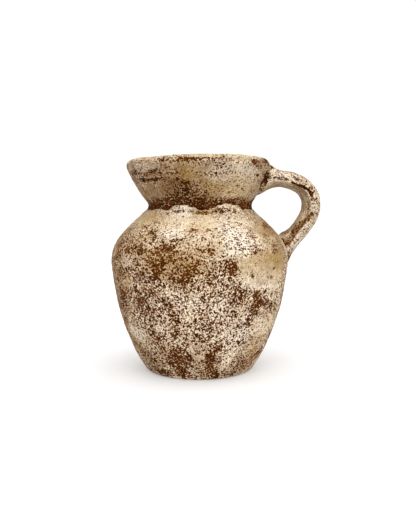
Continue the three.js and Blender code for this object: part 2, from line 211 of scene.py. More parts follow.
# angle, height, half arc, half height, lean, what it sets. Painted in turn.
FRONT = [
    # belly: the broad fields first
    # The first field paints the pot's left side darker and browner, partly its own wash and partly painted shade on
    # that side.
    (-160, 58, 28, 72, 0, dict(cover=0.52, tan=0.72, grey=0.2, white=0.1, rust=0.5, soft=0.4)),
    (-151, 100, 15, 14, 0, dict(cover=0.6, tan=0.55, ochre=0.3, soft=0.4)),
    (-141, 98, 11, 6, 0, dict(cover=0.74, tan=0.3, ochre=0.45)),
    (-148, 20, 24, 18, 0, dict(cover=0.5, tan=0.5, rust=0.5, soft=0.4)),
    (-120, 22, 8, 14, 0, dict(cover=0.46, tan=0.3)),
    (-124, 82, 14, 20, 0, dict(cover=0.43, tan=0.2, soft=0.3)),
    (-118, 76, 5, 12, 0, dict(cover=0.56, grey=0.3)),
    (-126, 55, 8, 10, 0, dict(cover=0.38)),
    (-116, 57, 6, 11, 0, dict(cover=0.64, white=0.6, grey=0.2)),
    (-134, 38, 10, 9, 0, dict(cover=0.66, white=0.3)),
    (-142, 46, 16, 6, 0, dict(cover=0.84, grey=0.4, white=0.5, tan=0.12)),
    (-105, 90, 10, 6, 0, dict(cover=0.72, white=0.5)),
    (-96, 82, 9, 10, 0, dict(cover=0.62, white=0.5)),
    (-97, 66, 5, 14, 0, dict(cover=0.74, white=0.5)),
    (-81, 78, 10, 10, 0, dict(cover=0.62, white=0.6)),
    (-88, 58, 12, 8, 0, dict(cover=0.46)),
    (-96, 42, 9, 9, 0, dict(cover=0.58, tan=0.2)),
    (-66, 66, 10, 6, 0, dict(cover=0.56, white=0.6)),
    (-64, 49, 13, 8, 0, dict(cover=0.74, white=0.75, grey=0.12)),
    (-66, 27, 11, 13, 0, dict(cover=0.76, white=0.45, ochre=0.1)),
    (-39, 56, 22, 18, 0, dict(cover=0.94, tan=0.12, ochre=0.25, white=0.25, speck=0.2, soft=0.3)),
    (-42, 34, 18, 8, 0, dict(cover=0.74, tan=0.25, ochre=0.4, rust=0.6)),
    (-40, 18, 22, 14, 0, dict(cover=0.58, tan=0.42, ochre=0.4, rust=0.6, soft=0.3)),
    (-94, 27, 6, 12, 0, dict(cover=0.66, tan=0.15, ochre=0.2)),
    # belly: marks
    (-148.5, 79, 6, 11, 0, dict(cover=0.07, rust=0.4, tan=0.3)),
    (-129.5, 81, 5.5, 5.5, 0, dict(cover=0.2)),
    (-132, 93, 2.6, 8, 0, dict(cover=0.34)),
    (-124.5, 84, 4, 2.5, 20, dict(cover=0.24)),
    (-121, 92, 3, 2, 0, dict(cover=0.2)),
    (-123.5, 73, 3, 4.5, 0, dict(cover=0.28)),
    (-110.5, 82, 4.5, 4, 0, dict(cover=0.18)),
    (-108.5, 75, 3.5, 4.5, 0, dict(cover=0.22)),
    (-105.7, 68, 4.2, 4.5, 0, dict(cover=0.1)),
    (-105, 61.5, 4.5, 3.5, 0, dict(cover=0.13)),
    (-106.5, 54.5, 4.5, 3.5, 0, dict(cover=0.22)),
    (-107, 50, 4, 2.6, 0, dict(cover=0.13)),
    (-124.5, 48, 4.5, 4, 0, dict(cover=0.1)),
    (-120, 44, 5.5, 4.5, 25, dict(cover=0.22)),
    (-119.5, 37, 4, 5, 0, dict(cover=0.3)),
    (-116, 66, 2.5, 2.2, 0, dict(cover=0.2)),
    (-98, 60, 2.6, 3.2, 0, dict(cover=0.18)),
    (-93.5, 63, 2.2, 3.2, 0, dict(cover=0.22)),
    (-92.5, 56, 2, 5.5, 0, dict(cover=0.2)),
    (-86.5, 56, 5, 3.5, 0, dict(cover=0.14)),
    (-84, 60.5, 3, 2.2, 0, dict(cover=0.2)),
    (-83, 53, 3.4, 2.2, 0, dict(cover=0.2)),
    (-77, 60, 3, 2.5, 0, dict(cover=0.24)),
    (-89.5, 72, 3.4, 3, 0, dict(cover=0.22)),
    (-87.5, 84, 3, 3.4, 0, dict(cover=0.24)),
    (-65.5, 85, 9, 7.5, 0, dict(cover=0.36)),
    (-65.5, 88, 5, 2.6, 0, dict(cover=0.24)),
    (-66, 83.5, 3.5, 2.6, 0, dict(cover=0.26)),
    (-67, 94.5, 3, 2, 0, dict(cover=0.2)),
    (-74.5, 96, 3, 2.4, 0, dict(cover=0.22)),
    (-69, 71, 3.4, 2, 0, dict(cover=0.2)),
    (-62, 57, 6.5, 2.6, 0, dict(cover=0.45)),
    (-91.5, 47.5, 3.4, 3.4, 0, dict(cover=0.2)),
    (-87, 44, 5, 3.6, 0, dict(cover=0.3)),
    (-77, 41.5, 3, 2, 0, dict(cover=0.2)),
    (-70.3, 40.5, 1.8, 1.8, 0, dict(cover=0.12)),
    (-60, 40, 5, 3, 0, dict(cover=0.42, grey=0.2)),
    (-117, 55, 4.5, 4, 0, dict(cover=0.86, white=0.9, grey=0.1)),
    (-92, 52.5, 2, 2, 0, dict(cover=0.8, white=0.6)),
    (-93, 84, 3.6, 8, 0, dict(cover=0.72, white=0.5)),
    (-78, 80, 5, 7, 0, dict(cover=0.72, white=0.6)),
    # the foot
    (-108.5, 21, 9.5, 13, 0, dict(cover=0.12, rust=0.4)),
    (-105, 33, 6.5, 5, 0, dict(cover=0.18, rust=0.4)),
    (-97.5, 25, 3.6, 4.2, 0, dict(cover=0.12)),
    (-114.5, 20, 3.6, 5, 0, dict(cover=0.15)),
    (-107, 7.5, 7.5, 4.5, 0, dict(cover=0.09, rust=0.5)),
    (-82, 22, 4.4, 13, 0, dict(cover=0.08, rust=0.4)),
    (-78.5, 33.5, 3.2, 3.6, 0, dict(cover=0.12)),
    (-75, 36, 2.4, 2.6, 0, dict(cover=0.22)),
    (-78.5, 10.5, 4, 4.5, 0, dict(cover=0.09, rust=0.4)),
    (-75.5, 5.5, 4, 3.6, 0, dict(cover=0.07, rust=0.4)),
    (-85, 6, 2.5, 1.5, 0, dict(cover=0.12)),
    (-127, 6, 8, 3.6, 0, dict(cover=0.12, rust=0.4)),
    (-136, 24, 5, 3, 10, dict(cover=0.22, rust=0.5)),
    (-132, 19, 5, 2.4, 10, dict(cover=0.26)),
    (-58, 6, 6, 2.6, 0, dict(cover=0.3, tan=0.5)),
    (-50, 17, 5.5, 3.6, 0, dict(cover=0.18, rust=0.5)),
    (-43, 27, 7, 4, 0, dict(cover=0.85, ochre=0.8)),
    (-30, 22, 8, 5.5, 0, dict(cover=0.2, rust=0.7, tan=0.3)),
    # the dense band
    (-139, 115, 14, 6, 0, dict(cover=0.6, white=0.2, grey=0.3, tan=0.3, ochre=0.2)),
    (-137, 116, 6, 3.6, 0, dict(cover=0.84, white=0.5, grey=0.3)),
    (-152, 121, 10, 4, 0, dict(cover=0.3, tan=0.6, rust=0.4)),
    (-138, 110, 5, 1.5, 0, dict(cover=0.2)),
    (-128.5, 114.5, 3, 4.5, 0, dict(cover=0.24)),
    (-131, 119.5, 2.4, 1.6, 0, dict(cover=0.2)),
    (-104, 114, 33, 11, 0, dict(cover=0.42, ochre=0.65, tan=0.12, rust=0.5, soft=0.3)),
    (-85, 110, 7, 9, 0, dict(cover=0.5, white=0.5, ochre=0.35)),
    (-113.5, 114, 6, 6.5, 0, dict(cover=0.11, ochre=0.85)),
    (-109.5, 119, 6, 3, 0, dict(cover=0.1, ochre=0.85)),
    (-118.5, 118, 3.4, 3.4, 0, dict(cover=0.18)),
    (-115.5, 105.5, 4.5, 4.2, 0, dict(cover=0.15)),
    (-113, 98, 3, 3, 0, dict(cover=0.24)),
    (-105.5, 105, 3, 3, 0, dict(cover=0.18)),
    (-100, 112, 2.6, 4.5, 0, dict(cover=0.18)),
    (-94, 114, 5.5, 4.5, 0, dict(cover=0.1)),
    (-97, 106, 4.5, 5, 0, dict(cover=0.1)),
    (-99, 100, 4.5, 3.5, 0, dict(cover=0.16)),
    (-91.5, 109, 2.2, 2.4, 0, dict(cover=0.14)),
    (-85.5, 106, 2.6, 3, 0, dict(cover=0.2)),
    (-84, 100, 3.4, 2.4, 0, dict(cover=0.18)),
    # the smooth cream patch on the right
    (-45, 107, 33, 16.5, -4, dict(cover=0.985, ochre=0.42, white=0.12, tan=0.2, speck=0.3)),
    (-39, 119, 26, 8, 0, dict(cover=0.985, ochre=0.9, tan=0.3, soft=0.5)),
    (-55, 97, 13, 6, 0, dict(cover=0.98, ochre=0.15, white=0.5, tan=0.06, soft=0.3)),
    (-47, 101, 14, 7, 0, dict(tan=0.55, ochre=0.2, soft=0.4)),
    (-44, 109, 13, 7, 0, dict(tan=0.42, soft=0.5)),
    (-40, 109.8, 3, 1.2, 0, dict(cover=0.15)),
    (-42, 101, 3.5, 2, 0, dict(cover=0.28)),
    (-58, 104, 1.5, 3.5, 30, dict(cover=0.35)),
    (-31, 95, 2, 1.5, 0, dict(cover=0.2)),
    (-73, 114.5, 6.5, 6.5, 0, dict(cover=0.07, rust=0.45)),
    (-71, 109, 3.6, 4.5, 0, dict(cover=0.1)),
    (-77.5, 118, 4, 2.4, 0, dict(cover=0.14)),
    # the bare patch under it
    (-53, 87, 4.2, 4.2, -15, dict(cover=0.04, rust=0.5)),
    (-51.5, 78.5, 7, 6.5, 0, dict(cover=0.03, rust=0.45)),
    (-53, 69, 6, 7, 0, dict(cover=0.1, rust=0.5)),
    (-55.5, 60, 4.4, 5, 0, dict(cover=0.24)),
    (-44, 76, 5, 3.6, 0, dict(cover=0.2)),
    (-38, 74, 5, 3.2, 0, dict(cover=0.34)),
    (-33.5, 72, 6, 2, 15, dict(cover=0.3)),
    (-39, 84.5, 2.2, 2.2, 0, dict(cover=0.12)),
    (-46, 88.5, 3.4, 2.2, 0, dict(cover=0.14)),
    # shoulder: broad fields
    (-27, 144, 25, 18, 0, dict(cover=0.74, tan=0.62, ochre=0.35, rust=0.75, speck=0.2, soft=0.3)),
    (-92, 131, 14, 8, 0, dict(cover=0.66, white=0.4, ochre=0.2)),
    (-134, 129, 16, 6, 0, dict(cover=0.51, rust=0.6, tan=0.15, white=0.2)),
    (-112, 128, 13, 9, 0, dict(cover=0.44, rust=0.5, ochre=0.3)),
    (-131, 143, 16, 9, 0, dict(cover=0.64, tan=0.16, rust=0.8, ochre=0.2, white=0.3)),
    (-146, 156, 25, 8, 0, dict(cover=0.93, tan=0.3, ochre=0.35, white=0.1, speck=0.15)),
    (-157, 138, 14, 12, 0, dict(cover=0.62, tan=0.75, rust=0.55, soft=0.3)),
    (-62, 138, 15, 14, 0, dict(cover=0.8, white=0.95, tan=0.0, ochre=0.0, soft=0.3)),
    (-57, 152, 14, 10, 0, dict(cover=0.92, white=0.5, ochre=0.1, tan=0.05, soft=0.3)),
    (-97, 153, 33, 7.5, 0, dict(cover=0.985, ochre=0.28, white=0.22, tan=0.0, speck=0.05)),
    (-105, 163.5, 12, 5, 0, dict(cover=0.95, white=0.95, ochre=0.0)),
    (-107, 141.5, 9, 3.4, 0, dict(cover=0.92, white=0.85, ochre=0.0)),
    # shoulder: marks
    (-138.5, 127, 6.5, 3.4, 10, dict(cover=0.12, rust=0.75)),
    (-127.5, 126, 4.6, 3.0, 0, dict(cover=0.08, rust=0.4)),
    (-132, 131, 4.4, 2, 0, dict(cover=0.2, rust=0.6)),
    (-121, 134, 2.2, 2.2, 0, dict(cover=0.26)),
    (-111.5, 130.5, 5.5, 3.6, 0, dict(cover=0.07)),
    (-107.5, 129.3, 4, 2.4, 0, dict(cover=0.09)),
    (-105, 137, 5, 2, 0, dict(cover=0.2)),
    (-101, 137.5, 2.2, 1.4, 0, dict(cover=0.25)),
    (-116, 126, 4, 3, 0, dict(cover=0.24)),
    (-124.5, 144, 4.4, 3.4, 0, dict(cover=0.17, rust=0.75)),
    (-120.5, 139, 2.6, 3.6, 0, dict(cover=0.24, rust=0.7)),
    (-134, 149.5, 6, 1.6, 0, dict(cover=0.46, rust=0.8, tan=0.4)),
    (-95, 140, 2.2, 1.4, 0, dict(cover=0.26)),
    (-88, 138, 2, 1.4, 0, dict(cover=0.35)),
    (-84.5, 127.3, 4.2, 3, 0, dict(cover=0.12)),
    (-84, 132, 2.4, 2, 0, dict(cover=0.35)),
    (-91, 128.5, 3.5, 1.6, 0, dict(cover=0.3)),
    (-79, 134.5, 2.2, 1.5, 0, dict(cover=0.32)),
    (-59, 168.5, 12, 5, 0, dict(cover=0.95, white=0.5, ochre=0.2, tan=0.12, grey=0.12)),
    (-67, 166.0, 1.6, 2.4, 15, dict(cover=0.45, rust=0.7)),
    (-108, 164.0, 6.5, 1.3, 0, dict(cover=0.3, rust=0.7)),
    (-99, 163.4, 3, 1.2, 0, dict(cover=0.3, rust=0.8)),
    (-87, 162.0, 8, 1.6, 0, dict(cover=0.24, rust=1.0, ochre=0.7, white=0.0)),
    (-72, 164.3, 5, 2.0, 0, dict(cover=0.1, rust=0.5)),
    (-62, 165.6, 4.2, 1.6, 0, dict(cover=0.16, rust=0.5)),
    (-55, 163.0, 2.4, 1.2, 0, dict(cover=0.3, rust=0.7)),
    (-53, 141, 4, 2, 15, dict(cover=0.3, rust=0.9)),
    (-52, 146, 2.6, 4, 0, dict(cover=0.66, tan=0.4, rust=0.8)),
    (-66, 135, 3, 3, 0, dict(cover=0.5)),
    (-67, 138, 2, 1.5, 0, dict(cover=0.25)),
    (-64, 129, 3, 2, 0, dict(cover=0.3)),
    (-55, 126, 5.5, 2.0, 15, dict(cover=0.12, rust=0.75)),
    (-54, 130, 2.2, 2.6, 0, dict(cover=0.22, rust=0.75)),
    (-36, 126.5, 8, 3, 0, dict(cover=0.62, tan=0.65, rust=0.7)),
    (-36, 131, 5, 1.6, 0, dict(cover=0.28, rust=0.8)),
    (-40, 141, 4, 1.5, 10, dict(cover=0.42, rust=0.9)),
    (-31, 149, 9, 3, 20, dict(cover=0.55, tan=0.7, rust=0.9)),
    (-94, 146.4, 3.0, 1.3, 0, dict(cover=0.08, rust=1.0)),
    (-84, 146.4, 3.0, 0.9, 0, dict(cover=0.25, rust=1.0)),
    (-79, 147.2, 1.6, 1.2, 0, dict(cover=0.35, rust=1.0)),
    (-72, 149.3, 1.6, 1.5, 0, dict(cover=0.35, rust=0.8)),
    # neck: broad fields, their heavy tan partly painted shade on the flared neck, which faces down
    (-150, 184, 36, 10, 0, dict(cover=0.93, tan=0.88, grey=0.1, ochre=0.3, speck=0.12, soft=0.4)),
    (-154, 204, 26, 8, 0, dict(cover=0.9, grey=0.45, tan=0.85, white=0.1, speck=0.2, soft=0.4)),
    (-138, 206.5, 13, 4, 0, dict(cover=0.93, grey=0.4, tan=0.42, white=0.25, speck=0.2, soft=0.3)),
    (-118, 197, 13, 16, 0, dict(cover=0.84, tan=0.82, grey=0.12, speck=0.75, soft=0.3)),
    (-75, 186, 18, 9, 0, dict(cover=0.92, ochre=0.85, tan=0.6, grey=0.0, speck=0.5, soft=0.5)),
    (-50, 192, 24, 16, 0, dict(cover=0.91, grey=0.15, tan=0.1, white=0.3, ochre=0.55, speck=0.8, soft=0.4)),
    (-74, 201, 16, 8, 0, dict(cover=0.9, grey=0.4, white=0.4, tan=0.28, ochre=0.3, speck=0.9, soft=0.3)),
    (-99, 199, 15, 11, 0, dict(cover=0.92, ochre=0.95, tan=0.8, grey=0.0, speck=0.4, soft=0.6)),
    (-28, 188, 13, 18, 0, dict(cover=0.84, tan=0.6, ochre=0.4, rust=0.7, soft=0.4)),
    (-92, 206, 13, 4.5, 0, dict(tan=0.78, ochre=0.6, soft=0.4)),
    (-58, 207.5, 16, 4, 0, dict(cover=0.96, tan=0.04, white=0.3, soft=0.4)),
    (-50, 182.5, 18, 4.5, 0, dict(cover=0.93, tan=0.12, ochre=0.5, soft=0.4)),
    (-50, 203.5, 15, 6, 0, dict(cover=0.91, ochre=0.12, white=0.3, grey=0.35, tan=0.2, speck=0.8, soft=0.4)),
    # neck: marks
    (-154, 201.5, 13, 2.8, 0, dict(cover=0.36, tan=0.95)),
    (-160, 195, 9, 4, 0, dict(cover=0.55, tan=0.9, speck=0.6)),
    (-141, 194.3, 16, 1.5, 0, dict(cover=0.3, tan=0.85, speck=0.8, rust=0.0)),
    (-147, 195.8, 9, 0.9, 0, dict(cover=0.1, speck=0.9, rust=0.0)),
    (-134, 194.2, 9, 1.0, 0, dict(cover=0.08, speck=0.9, rust=0.0)),
    (-122.5, 195.2, 5, 1.1, 0, dict(cover=0.1, speck=0.9, rust=0.0)),
    (-131, 201.4, 7, 1.0, 0, dict(cover=0.14, speck=0.9, rust=0.0)),
    (-139, 198, 9, 0.8, 0, dict(cover=0.34, speck=0.8, rust=0.0)),
    (-128.5, 194, 3.6, 2.1, 0, dict(cover=0.05, speck=0.9)),
    (-143, 193.2, 3, 1.2, 0, dict(cover=0.16)),
    (-130, 201, 10, 2.2, 10, dict(cover=0.38, tan=0.75, grey=0.2, speck=0.5)),
    (-125.5, 202.5, 3, 1.6, 20, dict(cover=0.12, speck=0.8)),
    (-120, 193.6, 2.5, 1.2, 0, dict(cover=0.18, speck=0.8)),
    (-109, 184, 17, 9, 0, dict(cover=0.68, tan=1.0, ochre=0.5, speck=0.9, rust=0.0, soft=0.5)),
    (-103, 186.5, 11, 5.5, -22, dict(cover=0.5, tan=1.0, speck=0.95, rust=0.0, soft=0.4)),
    (-107, 184.5, 9, 4, -15, dict(cover=0.46, speck=0.9)),
    (-96, 181.5, 9, 4.0, -28, dict(cover=0.44, tan=1.0, ochre=0.5, speck=0.9, rust=0.2, soft=0.4)),
    (-109, 193, 3, 2, 0, dict(cover=0.24, speck=0.8)),
    (-101, 190.5, 4, 1.6, -30, dict(cover=0.24, speck=0.8)),
    (-87, 178, 9, 3.2, -10, dict(cover=0.55, tan=0.9, ochre=0.6, speck=0.6, soft=0.3)),
    (-76, 204, 6, 2.5, 0, dict(cover=0.62, speck=0.95)),
    (-80, 198, 6, 2, 0, dict(cover=0.62, speck=0.95)),
    (-56, 188, 3, 1.4, -20, dict(cover=0.3, rust=0.8)),
    (-48, 185, 3, 1.4, -30, dict(cover=0.3, rust=0.8)),
    (-62, 182, 3, 1.2, 0, dict(cover=0.36, rust=0.7)),
    (-39, 199.5, 5, 1.2, 0, dict(cover=0.4, rust=0.8)),
    (-25, 199.5, 3.4, 3.4, 0, dict(cover=0.05, rust=0.0, speck=0.9)),
    (-21, 196.0, 5.5, 5.0, 0, dict(cover=0.01, rust=0.0, speck=1.0)),
    (-17, 193.5, 4.0, 3.4, 0, dict(cover=0.01, rust=0.0, speck=1.0)),
    (-20.5, 190.0, 1.4, 3.5, -18, dict(cover=0.4, rust=0.2, speck=0.9)),
    # the rim's blotches, with a brown smear by the handle
    (-92, 211.3, 44, 2.6, 0, dict(cover=0.84, rust=0.7, tan=0.3, ochre=0.3)),
    (-116, 212, 7, 2.0, 0, dict(cover=0.36, rust=0.6)),
    (-99, 210.8, 12, 2.4, 0, dict(cover=0.42, rust=0.8, tan=0.7)),
    (-86, 211.4, 7, 1.6, 0, dict(cover=0.5, rust=0.7)),
    (-76, 212, 9, 1.4, 0, dict(cover=0.66, rust=0.7)),
    (-40, 209.8, 9.5, 4.2, 0, dict(cover=0.66, tan=0.95, ochre=0.1, rust=0.9)),
    (-39, 210.0, 7, 2.8, 0, dict(cover=0.93, tan=1.0, grey=0.25, speck=0.0)),
    (-46, 210.8, 4.4, 2.4, 0, dict(cover=0.3, rust=0.9)),
    (-38, 206.4, 3.4, 1.8, 0, dict(cover=0.5, rust=0.8)),
    (-30, 214.4, 4.6, 4.4, -15, dict(cover=0.03, rust=0.8)),
    (-34.5, 212.4, 3.6, 2.4, 0, dict(cover=0.14, rust=0.9)),
    (-32, 138, 9, 2.5, 0, dict(tan=0.15, soft=0.5)),
]

# Broad differences over these: angle, height, half arc, half height, more wash or less,
# warmer or whiter.
WEAR = [
    (-122, 126, 9, 5, -0.26, 0.2), (-145, 133, 12, 6, -0.2, 0.3), (-131, 137, 10, 4, -0.16, 0.2),
    (-147, 108, 14, 6, -0.12, 0.2), (-132, 101, 10, 5, -0.12, 0.2), (-122, 99, 9, 5, -0.14, 0.1),
    (-99, 96, 12, 7, -0.22, 0.25), (-98, 86, 5, 7, -0.14, 0.0), (-118, 88, 6, 5, -0.25, 0.15),
    (-136, 83, 11, 6, -0.18, 0.2), (-130, 74, 8, 6, -0.08, 0.2), (-110, 72, 6, 6, -0.18, 0.2),
    (-71, 86, 12, 6, -0.12, 0.1), (-61, 68, 5, 4, 0.14, 0.0), (-32, 67, 11, 8, -0.26, 0.1), (-56, 73, 8, 12, -0.12, 0.1), (-76, 26, 6, 13, -0.22, 0.4),
    (-102, 17, 12, 7, -0.2, 0.3), (-84, 7, 8, 4, -0.12, 0.3), (-77, 56, 5, 5, -0.12, 0.0),
    (-79, 108, 5, 5, -0.12, 0.1), (-58, 150, 5, 4, -0.12, 0.1), (-106, 54, 5, 6, -0.12, 0.0),
    (-126, 18, 8, 7, -0.12, 0.3), (-78, 142, 8, 12, 0.1, -0.1), (-60, 148, 9, 6, -0.1, 0.0), (-57, 128, 7, 4, -0.12, 0.1), (-90, 134, 11, 8, 0.24, 0.15), (-83, 128, 8, 5, 0.14, 0.2),
    (-71, 127, 6, 4, 0.14, -0.4), (-104, 118, 10, 5, 0.14, 0.3), (-97, 113, 6, 6, 0.14, 0.3),
    (-88, 111, 6, 5, 0.14, 0.2), (-65, 103, 6, 11, 0.14, -0.2), (-123, 114, 5, 5, 0.12, 0.1),
    (-37, 91, 10, 6, 0.3, -0.2), (-89, 56, 8, 6, 0.16, -0.1), (-92, 66, 9, 4, -0.1, 0.0), (-98, 44, 6, 4, 0.14, 0.0), (-99, 63, 6, 4, 0.16, 0.0),
    (-70, 60, 14, 4, 0.14, -0.1), (-126, 44, 8, 8, 0.1, 0.0), (-135, 52, 6, 8, -0.12, 0.0), (-109, 52, 4, 6, 0.16, 0.0), (-84, 45, 10, 6, 0.2, 0.0), (-70, 38, 10, 5, -0.12, 0.0),
    (-63, 27, 6, 8, 0.1, -0.4), (-88, 27, 4, 6, 0.08, 0.0), (-112, 86, 4, 4, 0.14, 0.0),
    (-64, 72, 5, 4, 0.16, 0.0), (-146, 52, 13, 14, 0.08, -0.3), (-119, 30, 6, 4, 0.1, 0.1),
    (-133, 127, 29, 9, 0.0, 0.4), (-101, 127, 28, 8, 0.0, 0.45), (-81, 130, 13, 8, 0.0, 0.4),
    (-72, 112, 9, 8, 0.0, 0.3), (-120, 112, 14, 8, 0.0, 0.3), (-102, 105, 14, 8, 0.0, 0.3),
    (-72, 141, 13, 10, 0.0, -0.4), (-61, 134, 10, 8, 0.0, -0.4), (-62, 99, 7, 9, 0.0, -0.3),
    (-44, 95, 11, 8, 0.0, -0.3), (-61, 48, 13, 7, 0.0, -0.4), (-66, 35, 8, 10, 0.0, -0.4),
    (-43, 58, 14, 10, 0.0, -0.2), (-30, 122, 13, 18, 0.0, 0.35), (-112, 27, 12, 10, 0.0, 0.35),
    (-82, 18, 12, 14, 0.0, 0.35), (-128, 158, 14, 6, -0.02, 0.4),
    (-97, 111, 4, 4, 0.12, 0.00), (-71, 122, 5, 3, 0.12, 0.00), (-89, 86, 4, 4, 0.12, 0.00), (-79, 103, 4, 3, -0.12, 0.00),
    (-143, 207, 9, 4, -0.10, 0.00), (-108, 58, 3, 4, -0.12, 0.00), (-124, 203, 7, 4, 0.08, 0.00), (-77, 112, 4, 4, 0.10, 0.10),
    (-55, 120, 6, 4, 0.06, 0.00), (-111, 84, 3, 5, 0.10, 0.00), (-93, 104, 3, 3, -0.12, 0.00), (-78, 204, 4, 3, -0.10, 0.00),
    (-119, 31, 5, 3, 0.10, 0.00), (-54, 53, 5, 3, -0.10, 0.00), (-97, 92, 4, 3, 0.10, 0.00), (-114, 51, 3, 4, 0.10, 0.00),
    (-66, 79, 8, 3, -0.10, 0.00), (-62, 97, 7, 4, -0.08, 0.00), (-96, 121, 5, 3, 0.10, 0.00), (-83, 123, 5, 3, 0.08, 0.00),
    (-63, 133, 6, 3, 0.10, 0.00), (-108, 116, 3, 3, -0.10, 0.00),
    (-128, 168, 21, 5, 0.00, 0.30), (-85, 166, 9, 5, 0.05, 0.30), (-115, 124, 18, 5, 0.04, 0.25), (-87, 125, 9, 4, 0.05, 0.25),
    (-74, 115, 11, 5, 0.04, 0.25), (-147, 197, 8, 12, 0.00, -0.30), (-64, 146, 15, 6, -0.05, -0.25), (-60, 132, 10, 6, -0.05, -0.25),
    (-59, 95, 7, 6, 0.08, -0.30), (-44, 93, 8, 7, -0.05, -0.25), (-146, 50, 8, 13, 0.00, -0.30), (-60, 47, 13, 8, -0.04, -0.25),
    (-60, 70, 6, 8, 0.05, -0.25), (-93, 79, 7, 8, 0.00, -0.20), (-64, 34, 9, 6, 0.00, -0.25), (-73, 21, 6, 6, 0.00, -0.25),
    (-104, 146, 6, 5, 0.00, -0.25), (-122, 132, 11, 4, -0.03, -0.20), (-117, 163, 4, 3, -0.12, 0.00), (-84, 117, 8, 3, -0.12, 0.00),
    (-51, 141, 11, 4, -0.08, 0.00), (-110, 122, 9, 3, 0.07, 0.00), (-112, 92, 4, 8, 0.08, 0.00), (-78, 95, 4, 4, 0.10, 0.00),
    (-82, 27, 8, 4, 0.08, 0.00), (-93, 54, 5, 4, 0.08, 0.00), (-93, 10, 4, 5, 0.10, 0.00), (-29, 170, 5, 5, 0.10, 0.20),
    (-145, 6, 7, 4, -0.10, 0.00), (-40, 82, 5, 3, -0.10, 0.00), (-123, 111, 6, 7, 0.06, 0.00),
    (-11, 138, 10, 2, 0.20, -0.20), (-124, 143, 6, 5, 0.12, 0.10), (-103, 62, 5, 4, 0.12, 0.00), (-112, 53, 4, 6, 0.12, 0.00),
    (-101, 73, 4, 4, 0.12, 0.00), (-74, 41, 7, 3, 0.12, 0.00), (-116, 98, 6, 4, -0.12, 0.00), (-104, 96, 8, 4, -0.12, 0.00),
    (-119, 84, 6, 5, -0.12, 0.00), (-67, 96, 8, 5, -0.10, 0.00), (-81, 85, 6, 4, -0.12, 0.00), (-108, 59, 3, 5, -0.12, 0.00),
    (-120, 54, 3, 6, -0.10, 0.00), (-81, 49, 6, 4, -0.12, 0.00), (-56, 33, 8, 6, -0.12, 0.00), (-103, 35, 8, 4, -0.12, 0.00),
    (-75, 34, 9, 3, -0.10, 0.00), (-92, 129, 8, 5, -0.08, 0.00), (-110, 131, 8, 4, -0.10, 0.00),
    (-51, 184, 12, 5, 0.08, 0.00), (-29, 189, 13, 5, 0.12, 0.00), (-142, 161, 15, 4, 0.06, 0.00), (-35, 115, 8, 6, 0.12, 0.10),
    (-160, 126, 7, 4, 0.15, 0.10), (-82, 113, 7, 4, 0.12, 0.10), (-122, 91, 6, 5, 0.12, 0.00), (-73, 80, 5, 4, 0.14, 0.00),
    (-141, 162, 16, 5, 0.06, 0.15), (-86, 163, 12, 5, 0.00, 0.35), (-87, 146, 13, 4, 0.00, 0.30), (-128, 141, 8, 9, 0.00, 0.25),
    (-48, 178, 28, 5, 0.06, 0.12),
    (-71, 133, 16, 9, -0.07, 0.00), (-38, 142, 18, 5, 0.12, 0.10), (-42, 150, 7, 6, 0.12, 0.00), (-39, 77, 10, 4, 0.12, 0.00),
    (-65, 73, 9, 4, 0.10, 0.00), (-55, 57, 6, 6, -0.12, 0.00), (-131, 70, 10, 8, -0.14, 0.00), (-49, 109, 11, 8, -0.00, -0.10),
    (-12, 129, 9, 2, 0.10, 0.00), (-78, 204, 5, 4, -0.08, 0.00), (-93, 210, 7, 5, -0.08, 0.10), (-116, 215, 9, 2, -0.15, 0.20),
    (-104, 213, 6, 2, 0.12, 0.00), (-143, 178, 11, 5, 0.10, 0.00), (-78, 177, 6, 4, 0.10, 0.10), (-52, 173, 6, 3, 0.15, 0.10),
    (-32, 170, 10, 4, 0.15, 0.20),
    (-142, 206, 11, 3, -0.15, -0.10), (-120, 205, 11, 4, 0.10, 0.00), (-80, 178, 7, 4, 0.14, 0.10), (-70, 211, 6, 3, 0.12, 0.00),
    (-53, 213, 8, 2, 0.12, 0.00), (-141, 63, 14, 9, 0.12, 0.00), (-139, 115, 14, 6, 0.12, 0.00), (-31, 61, 12, 7, -0.12, 0.00),
    (-77, 132, 21, 8, 0.00, -0.30), (-58, 133, 12, 7, 0.00, -0.30), (-149, 195, 8, 6, 0.00, -0.20), (-37, 174, 14, 4, 0.00, 0.30),
    (-37, 148, 23, 6, 0.04, 0.30), (-72, 11, 25, 6, 0.00, 0.25), (-61, 42, 11, 13, 0.00, -0.25), (-104, 147, 6, 4, 0.00, -0.20),
    (-121, 132, 8, 4, 0.00, -0.20),
    (-142, 104, 22, 6, -0.14, 0.00), (-42, 69, 13, 10, -0.16, 0.05), (-69, 71, 4, 12, -0.14, 0.00), (-64, 117, 10, 6, 0.14, 0.10),
    (-90, 57, 6, 4, 0.12, 0.00), (-83, 60, 6, 4, 0.12, 0.00), (-89, 99, 4, 7, 0.12, 0.00),
    (-103, 87, 4, 4, 0.12, 0.00), (-37, 144, 22, 9, 0.10, 0.25), (-20, 138, 8, 2, 0.25, -0.20), (-142, 48, 20, 11, 0.00, -0.25),
    (-59, 49, 10, 6, 0.00, -0.25), (-42, 95, 9, 7, 0.00, -0.25), (-58, 97, 5, 5, 0.00, -0.25), (-74, 128, 9, 5, 0.00, -0.25),
    (-90, 166, 8, 4, 0.00, 0.30), (-135, 168, 17, 4, 0.00, 0.30), (-93, 148, 6, 5, -0.10, 0.25),
]

